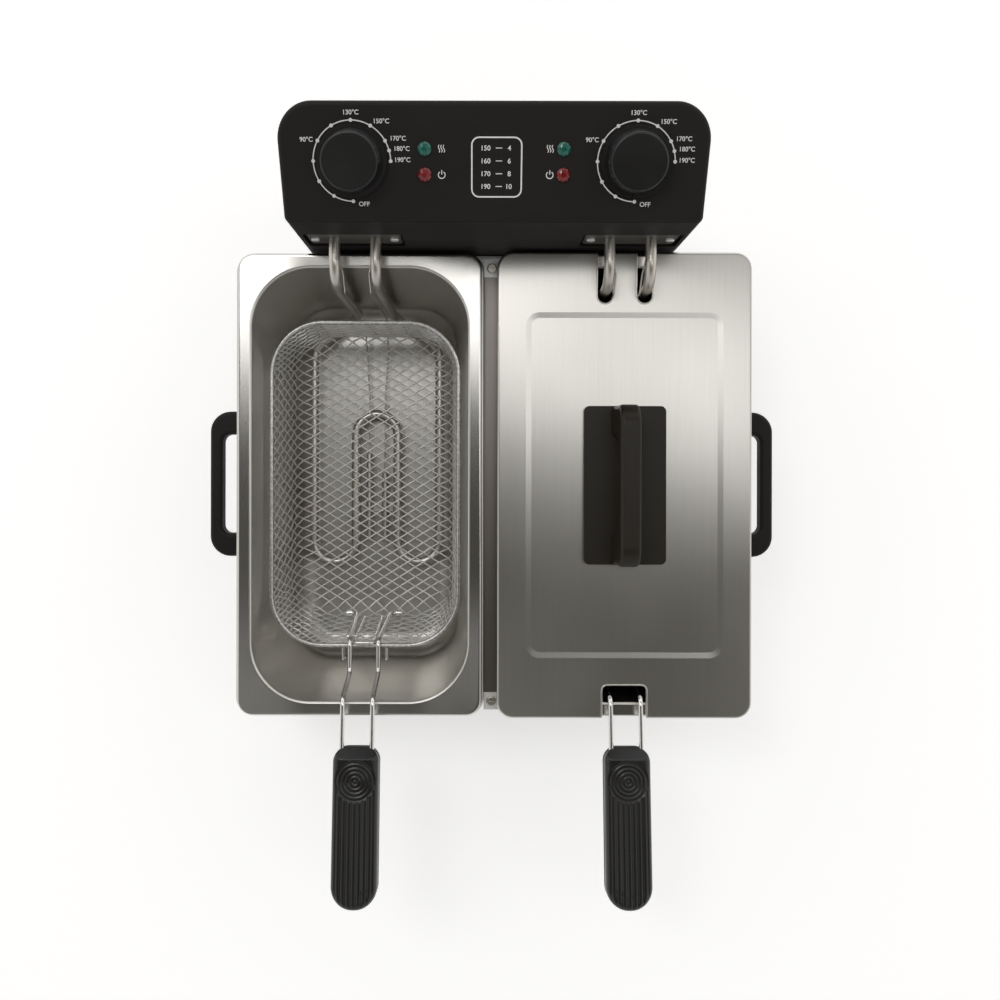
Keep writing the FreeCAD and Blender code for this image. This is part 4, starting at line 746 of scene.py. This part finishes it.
def make_baskets(materials, wires):
    """Woven wire baskets in place of the thin shells."""
    for side in SIDES:
        low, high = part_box(side + "_basket_floor")
        rim_low, rim_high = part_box(side + "_basket_rim")
        centre = (low + high) / 2
        floor_half = ((high.x - low.x) / 2, (high.y - low.y) / 2)
        corner = NET_CORNER - ((rim_high.x - rim_low.x) / 2 - floor_half[0])
        floor_z = low.z + NET_WIRE + NET_WAVE
        rim_z = (rim_low.z + rim_high.z) / 2
        points, edges = chained(net_lines(floor_half, corner, floor_z, rim_z))
        points = [point + Vector((centre.x, centre.y, 0)) for point in points]
        mesh = grown(side + "_basket_net", points, edges, wires, Radius=NET_WIRE, Sides=NET_SIDES,
                     Material=materials["wire"])
        finished(side + "_basket_net", mesh, side + "_basket",
                 [side + "_basket_wall", side + "_basket_floor"])


# Lid

def hem_paths(half_l):
    """Edges of the two slots and of the notch, from the lid's middle."""
    paths = []
    for x in (-SLOT_X, SLOT_X):
        round_end = arc((x, SLOT_FRONT + SLOT_HALF), SLOT_HALF, 180, 360, SLOT_STEPS)
        paths.append([(x - SLOT_HALF, half_l)] + round_end + [(x + SLOT_HALF, half_l)])
    turn_x, turn_y = NOTCH_HALF - NOTCH_CORNER, -NOTCH_BACK - NOTCH_CORNER
    left = arc((-turn_x, turn_y), NOTCH_CORNER, 180, 90, NOTCH_STEPS)
    right = arc((turn_x, turn_y), NOTCH_CORNER, 90, 0, NOTCH_STEPS)
    paths.append([(-NOTCH_HALF, -half_l)] + left + right + [(NOTCH_HALF, -half_l)])
    return paths


def make_hems(materials, wires):
    """Turned edges of the lid's openings."""
    low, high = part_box("lid")
    middle = (low + high) / 2
    points, edges = chained(hem_paths((high.y - low.y) / 2 - 2 * HEM_R))
    points = [(middle.x + x, middle.y + y, high.z - HEM_SINK) for x, y in points]
    mesh = grown("lid_hems", points, edges, wires, Radius=HEM_R, Sides=HEM_SIDES,
                 Material=materials["lid_steel"])
    finished("lid_hems", mesh, "lid")


# Grips

def grip_edge(u, s):
    """Distance inwards from a grip's outline; u across from the middle, s along from the head."""
    u = abs(u)
    end = GRIP_L - GRIP_END_R
    if s > end:
        return GRIP_END_R - math.hypot(max(u - GRIP_HALF + GRIP_END_R, 0.0), s - end)
    if s < GRIP_HEAD_R:
        return GRIP_HEAD_R - math.hypot(max(u - GRIP_HALF + GRIP_HEAD_R, 0.0), GRIP_HEAD_R - s)
    return GRIP_HALF - u


def grip_width(s):
    """Half width of a grip's outline at a place along it."""
    end = GRIP_L - GRIP_END_R
    if s > end:
        return GRIP_HALF - GRIP_END_R + math.sqrt(max(GRIP_END_R ** 2 - (s - end) ** 2, 0.0))
    if s < GRIP_HEAD_R:
        return GRIP_HALF - GRIP_HEAD_R + math.sqrt(max(GRIP_HEAD_R ** 2 - (GRIP_HEAD_R - s) ** 2, 0.0))
    return GRIP_HALF


def grip_height(u, s):
    """Height of a grip's top over its parting plane: crown, rounded edge, ribs and ring stamp."""
    edge = min(max(grip_edge(u, s) / GRIP_EDGE, 0.0), 1.0)
    height = GRIP_H - GRIP_CROWN * (u / GRIP_HALF) ** 2
    height -= GRIP_EDGE * (1 - math.sqrt(1 - (1 - edge) ** 2))
    from_stamp = math.hypot(u, s - STAMP_AT)
    if from_stamp < STAMP_R:
        height -= STAMP_SINK + STAMP_DEPTH * (1 - abs(math.cos(math.pi * from_stamp / STAMP_PITCH)))
    elif s > STAMP_AT:
        height -= RIB_DEPTH * edge * (1 - abs(math.cos(math.pi * u / RIB_PITCH)))
    return min(height, GRIP_FOOT + s / GRIP_CUT)


def grip_mesh(name, low):
    """Upper half of a grip, closed below, in place on its slope."""
    shape = bmesh.new()
    rows = []
    for row in range(GRIP_ROWS + 1):
        s = GRIP_L * row / GRIP_ROWS
        half = grip_width(s)
        line = []
        for column in range(GRIP_COLUMNS + 1):
            u = half * (2 * column / GRIP_COLUMNS - 1)
            line.append(shape.verts.new((u, -s, grip_height(u, s))))
        rows.append(line)
    for above, below in zip(rows, rows[1:]):
        for a, b, c, d in zip(above, below, below[1:], above[1:]):
            shape.faces.new((a, b, c, d))
    rim = rows[0] + [line[-1] for line in rows[1:-1]] + rows[-1][::-1] + [line[0] for line in rows[-2:0:-1]]
    foot = [shape.verts.new((vertex.co.x, vertex.co.y, 0)) for vertex in rim]
    for index, vertex in enumerate(rim):
        after = (index + 1) % len(rim)
        shape.faces.new((vertex, rim[after], foot[after], foot[index]))
    shape.faces.new(foot)
    bmesh.ops.recalc_face_normals(shape, faces=shape.faces)
    mesh = bpy.data.meshes.new(name)
    shape.to_mesh(mesh)
    shape.free()
    start = Vector((low.x + GRIP_HALF, low.y + GRIP_L * math.cos(GRIP_SLOPE), low.z))
    mesh.transform(Matrix.Translation(start) @ Matrix.Rotation(-GRIP_SLOPE, 4, "X"))
    return mesh


def make_grips(materials):
    """Ribbed grip tops in place of the plain upper halves."""
    for side in SIDES:
        node = side + "_grip_upper"
        mesh = grip_mesh(node + "_ribbed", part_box(node)[0])
        painted(smoothed(mesh, GRIP_SHARP), materials["grip_black"])
        finished(node + "_ribbed", mesh, side + "_handle", [node])


# Lamps

def panel_place():
    """Turns panel coordinates (across, up the slope, out) into the frame."""
    dial = [joint for joint in frame["joints"] if joint["name"] == "left_dial_turn"][0]
    across = Vector((1, 0, 0))
    up = Vector((0, math.cos(PANEL_TILT), math.sin(PANEL_TILT)))
    out = Vector((0, -math.sin(PANEL_TILT), math.cos(PANEL_TILT)))
    place = Matrix((across, up, out)).transposed().to_4x4()
    place.translation = (0, *dial["pos_m"][1:])
    return place


def lamp_point(local, radius, rise, turn):
    """Corner of a lens, in panel coordinates."""
    angle = 2 * math.pi * turn / LAMP_FACETS
    return local.x + radius * math.cos(angle), local.y + radius * math.sin(angle), rise


def lamp_mesh(name, low, high, place):
    """One lens: shank through the panel, and rings of facets above it."""
    local = place.inverted() @ ((low + high) / 2)
    rings = [[lamp_point(local, LAMP_R, -LAMP_SHANK, turn) for turn in range(LAMP_FACETS)]]
    for index, (share, rise) in enumerate(LAMP_RINGS):
        offset = 0.5 * (index % 2)
        rings.append([lamp_point(local, LAMP_R * share, LAMP_DOME * rise, turn + offset)
                      for turn in range(LAMP_FACETS)])
    mesh = lofted(name, rings)
    mesh.transform(place)
    return mesh


def make_lamps(materials):
    """Faceted lenses in place of the plain domes."""
    place = panel_place()
    for side in SIDES:
        for node, slot in ((side + "_ready_lamp", "green_lens"), (side + "_power_lamp", "red_lens")):
            mesh = lamp_mesh(node + "_jewel", *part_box(node), place)
            painted(mesh, materials[slot])
            finished(node + "_jewel", mesh, "control_unit", [node])


# Print on the panel

def ribbon(shape, path, width, closed=False):
    """Inked line of even width along a flat path."""
    count = len(path)
    sides = []
    for index, point in enumerate(path):
        before = path[index - 1] if closed or index else point
        after = path[(index + 1) % count] if closed or index < count - 1 else point
        run = Vector((after[0] - before[0], after[1] - before[1])).normalized()
        off = Vector((-run.y, run.x)) * width / 2
        corners = [(point[0] + s * off.x, point[1] + s * off.y) for s in (1, -1)]
        sides.append([shape.verts.new((x, y, z)) for z in (0, PRINT_T) for x, y in corners])
    runs = range(count if closed else count - 1)
    for index in runs:
        a, b = sides[index], sides[(index + 1) % count]
        shape.faces.new((a[2], a[3], b[3], b[2]))
        shape.faces.new((a[1], a[0], b[0], b[1]))
        shape.faces.new((a[0], a[2], b[2], b[0]))
        shape.faces.new((a[3], a[1], b[1], b[3]))
    if not closed:
        first, last = sides[0], sides[-1]
        shape.faces.new((first[0], first[1], first[3], first[2]))
        shape.faces.new((last[1], last[0], last[2], last[3]))


def words(shape, text, size, at):
    """Flat letters, centred on a place."""
    letters = bpy.data.curves.new("letters", "FONT")
    letters.body = text
    letters.size = size
    letters.extrude = PRINT_T / 2
    letters.offset = LABEL_WEIGHT
    holder = bpy.data.objects.new("letters", letters)
    bpy.context.scene.collection.objects.link(holder)
    view = bpy.context.evaluated_depsgraph_get()
    mesh = bpy.data.meshes.new_from_object(holder.evaluated_get(view), depsgraph=view)
    middle = [(min(spot) + max(spot)) / 2 for spot in zip(*(vertex.co for vertex in mesh.vertices))]
    mesh.transform(Matrix.Translation((at[0] - middle[0], at[1] - middle[1], PRINT_T / 2)))
    shape.from_mesh(mesh)
    bpy.data.objects.remove(holder)
    bpy.data.meshes.remove(mesh)


def dial_spot(centre, turn, radius):
    """Place on a dial, at degrees clockwise from the bottom."""
    angle = math.radians(-90 - turn)
    return centre + radius * math.cos(angle), radius * math.sin(angle)


def print_dial(shape, centre):
    """Ring and temperatures round one knob."""
    ribbon(shape, arc((centre, 0), RING_R, *RING_ARC), RING_LINE)
    for label, x, y in DIAL_LABELS:
        words(shape, label, LABEL_SIZE, (centre + x * MM, y * MM))


def print_chart(shape):
    """Frame with a plain time table between the dials."""
    x, y = CHART_MIDDLE
    path = [(x + a, y + b) for a, b in outline(CHART_HALF, CHART_CORNER, CHART_CORNER_STEPS)]
    ribbon(shape, path, CHART_LINE, closed=True)
    for index, (heat, minutes) in enumerate(CHART_ROWS):
        row_y = y + ((len(CHART_ROWS) - 1) / 2 - index) * CHART_PITCH
        words(shape, heat, CHART_SIZE, (x + CHART_COLUMNS[0], row_y))
        ribbon(shape, [(x + end, row_y) for end in CHART_DASH], CHART_DASH_LINE)
        words(shape, minutes, CHART_SIZE, (x + CHART_COLUMNS[1], row_y))


def print_marks(shape):
    """Heat and power marks beside the lamps."""
    rises = [step / HEAT_STEPS for step in range(HEAT_STEPS + 1)]
    for x in MARK_X:
        for shift in HEAT_SHIFTS:
            path = [(x + shift + HEAT_SWAY * math.sin(2 * math.pi * rise), HEAT_FOOT + HEAT_RISE * rise)
                    for rise in rises]
            ribbon(shape, path, HEAT_LINE)
        ribbon(shape, arc((x, POWER_Y), POWER_R, *POWER_ARC), POWER_LINE)
        ribbon(shape, [(x, end) for end in POWER_STROKE], POWER_LINE)


def make_print(materials, dots):
    """All white print of the panel, in two pieces."""
    place = panel_place()
    shape = bmesh.new()
    for centre in (-DIAL_X, DIAL_X):
        print_dial(shape, centre)
    print_chart(shape)
    print_marks(shape)
    mesh = bpy.data.meshes.new("panel_print")
    shape.to_mesh(mesh)
    shape.free()
    mesh.transform(place)
    finished("panel_print", painted(mesh, materials["print_white"]), "control_unit")
    spots = []
    for centre in (-DIAL_X, DIAL_X):
        for turn in DOT_TURNS:
            x, y = dial_spot(centre, turn, RING_R)
            spots.append((x, y, DOT_LIFT))
    mesh = grown("dial_dots", spots, [], dots, Radius=DOT_R, Thickness=PRINT_T, Sides=DOT_SIDES,
                 Material=materials["print_white"])
    mesh.transform(place)
    mesh.shade_flat()
    finished("dial_dots", mesh, "control_unit")


# Stage

def whiten(finish):
    """Lifts the floor to white for the camera and in reflections, and keeps its shadows."""
    tree = finish.tree
    path = tree.nodes.new("ShaderNodeLightPath")
    seen = path.outputs["Is Camera Ray"]
    for label in ("Is Glossy Ray", "Is Transmission Ray"):
        either = tree.nodes.new("ShaderNodeMath")
        either.operation = "MAXIMUM"
        tree.links.new(seen, either.inputs[0])
        tree.links.new(path.outputs[label], either.inputs[1])
        seen = either.outputs[0]
    level = tree.nodes.new("ShaderNodeMath")
    level.operation = "MULTIPLY"
    level.inputs[1].default_value = FLOOR_GLOW
    glow = tree.nodes.new("ShaderNodeEmission")
    both = tree.nodes.new("ShaderNodeAddShader")
    tree.links.new(seen, level.inputs[0])
    tree.links.new(level.outputs[0], glow.inputs["Strength"])
    tree.links.new(finish.shader.outputs[0], both.inputs[0])
    tree.links.new(glow.outputs[0], both.inputs[1])
    tree.links.new(both.outputs[0], tree.nodes["Material Output"].inputs["Surface"])


def make_floor():
    """Pale plain floor."""
    mesh = bpy.data.meshes.new("floor")
    half = FLOOR_SIZE / 2
    mesh.from_pydata([(-half, -half, 0), (half, -half, 0), (half, half, 0), (-half, half, 0)], [],
                     [(0, 1, 2, 3)])
    finish = Finish("floor_white")
    finish.put(Base_Color=FLOOR_COLOUR, Roughness=FLOOR_ROUGH, Specular_IOR_Level=0.0)
    whiten(finish)
    floor = bpy.data.objects.new("floor", painted(mesh, finish.material))
    bpy.context.scene.collection.objects.link(floor)
    floor.location.z = -FLOOR_DROP


def make_sky():
    """Pale surroundings, dark overhead and a little brighter towards the back."""
    world = bpy.data.worlds.new("studio")
    bpy.context.scene.world = world
    world.use_nodes = True
    tree = world.node_tree
    sky = tree.nodes["Background"]
    place = tree.nodes.new("ShaderNodeTexCoord")
    split = tree.nodes.new("ShaderNodeSeparateXYZ")
    ramp = tree.nodes.new("ShaderNodeValToRGB")
    lean = tree.nodes.new("ShaderNodeMath")
    lean.operation = "MULTIPLY_ADD"
    lean.inputs[1].default_value = SKY_LEAN
    lean.inputs[2].default_value = 1.0
    while len(ramp.color_ramp.elements) < len(SKY_COLOURS):
        ramp.color_ramp.elements.new(0.5)
    for spot, (rise, colour) in zip(ramp.color_ramp.elements, SKY_COLOURS):
        spot.position = rise
        spot.color = (*colour, 1)
    tree.links.new(place.outputs["Generated"], split.inputs[0])
    tree.links.new(split.outputs["Z"], ramp.inputs["Fac"])
    tree.links.new(split.outputs["Y"], lean.inputs[0])
    tree.links.new(ramp.outputs["Color"], sky.inputs["Color"])
    tree.links.new(lean.outputs[0], sky.inputs["Strength"])


def add_softbox(name, place, size, power):
    """One rectangular soft light, facing down."""
    light = bpy.data.lights.new(name, "AREA")
    light.shape = "RECTANGLE"
    light.size, light.size_y = size
    light.energy = power
    lamp = bpy.data.objects.new(name, light)
    bpy.context.scene.collection.objects.link(lamp)
    lamp.location = place
    return lamp


def make_light():
    """A long softbox overhead towards the back, a small one at its left, and a weak one in front."""
    make_sky()
    key = add_softbox("key_softbox", KEY_PLACE, KEY_SIZE, KEY_POWER)
    key.rotation_euler = (0, 0, KEY_YAW)
    side = add_softbox("side_softbox", SIDE_PLACE, SIDE_SIZE, SIDE_POWER)
    aim = Vector(SIDE_AIM) - Vector(SIDE_PLACE)
    side.rotation_euler = aim.to_track_quat("-Z", "Y").to_euler()
    add_softbox("front_softbox", FRONT_PLACE, FRONT_SIZE, FRONT_POWER)


def make_camera():
    """Camera straight above, turned a little, as the photograph is framed."""
    lens_data = bpy.data.cameras.new("camera")
    lens_data.lens = CAMERA_LENS
    lens_data.sensor_width = CAMERA_SENSOR
    lens_data.shift_x, lens_data.shift_y = CAMERA_SHIFT
    camera = bpy.data.objects.new("camera", lens_data)
    bpy.context.scene.collection.objects.link(camera)
    camera.location = CAMERA_PLACE
    camera.rotation_euler = (0, 0, CAMERA_TURN)
    bpy.context.scene.camera = camera


def paint_solids(materials):
    """Every CAD node gets the finish of its slot, or its own."""
    for row in frame["record"]["subparts"]:
        finish = OWN_FINISH.get(row["node"], row["material_slot"])
        painted(frame["nodes"][row["node"]].data, materials[finish])


def main():
    """The whole scene."""
    bpy.context.scene.view_settings.view_transform = "Standard"
    materials = make_materials()
    paint_solids(materials)
    make_camera()
    make_floor()
    make_light()
    make_tanks(materials)
    wires = wire_tree()
    make_baskets(materials, wires)
    make_hems(materials, wires)
    make_grips(materials)
    make_lamps(materials)
    make_print(materials, dot_tree())


main()
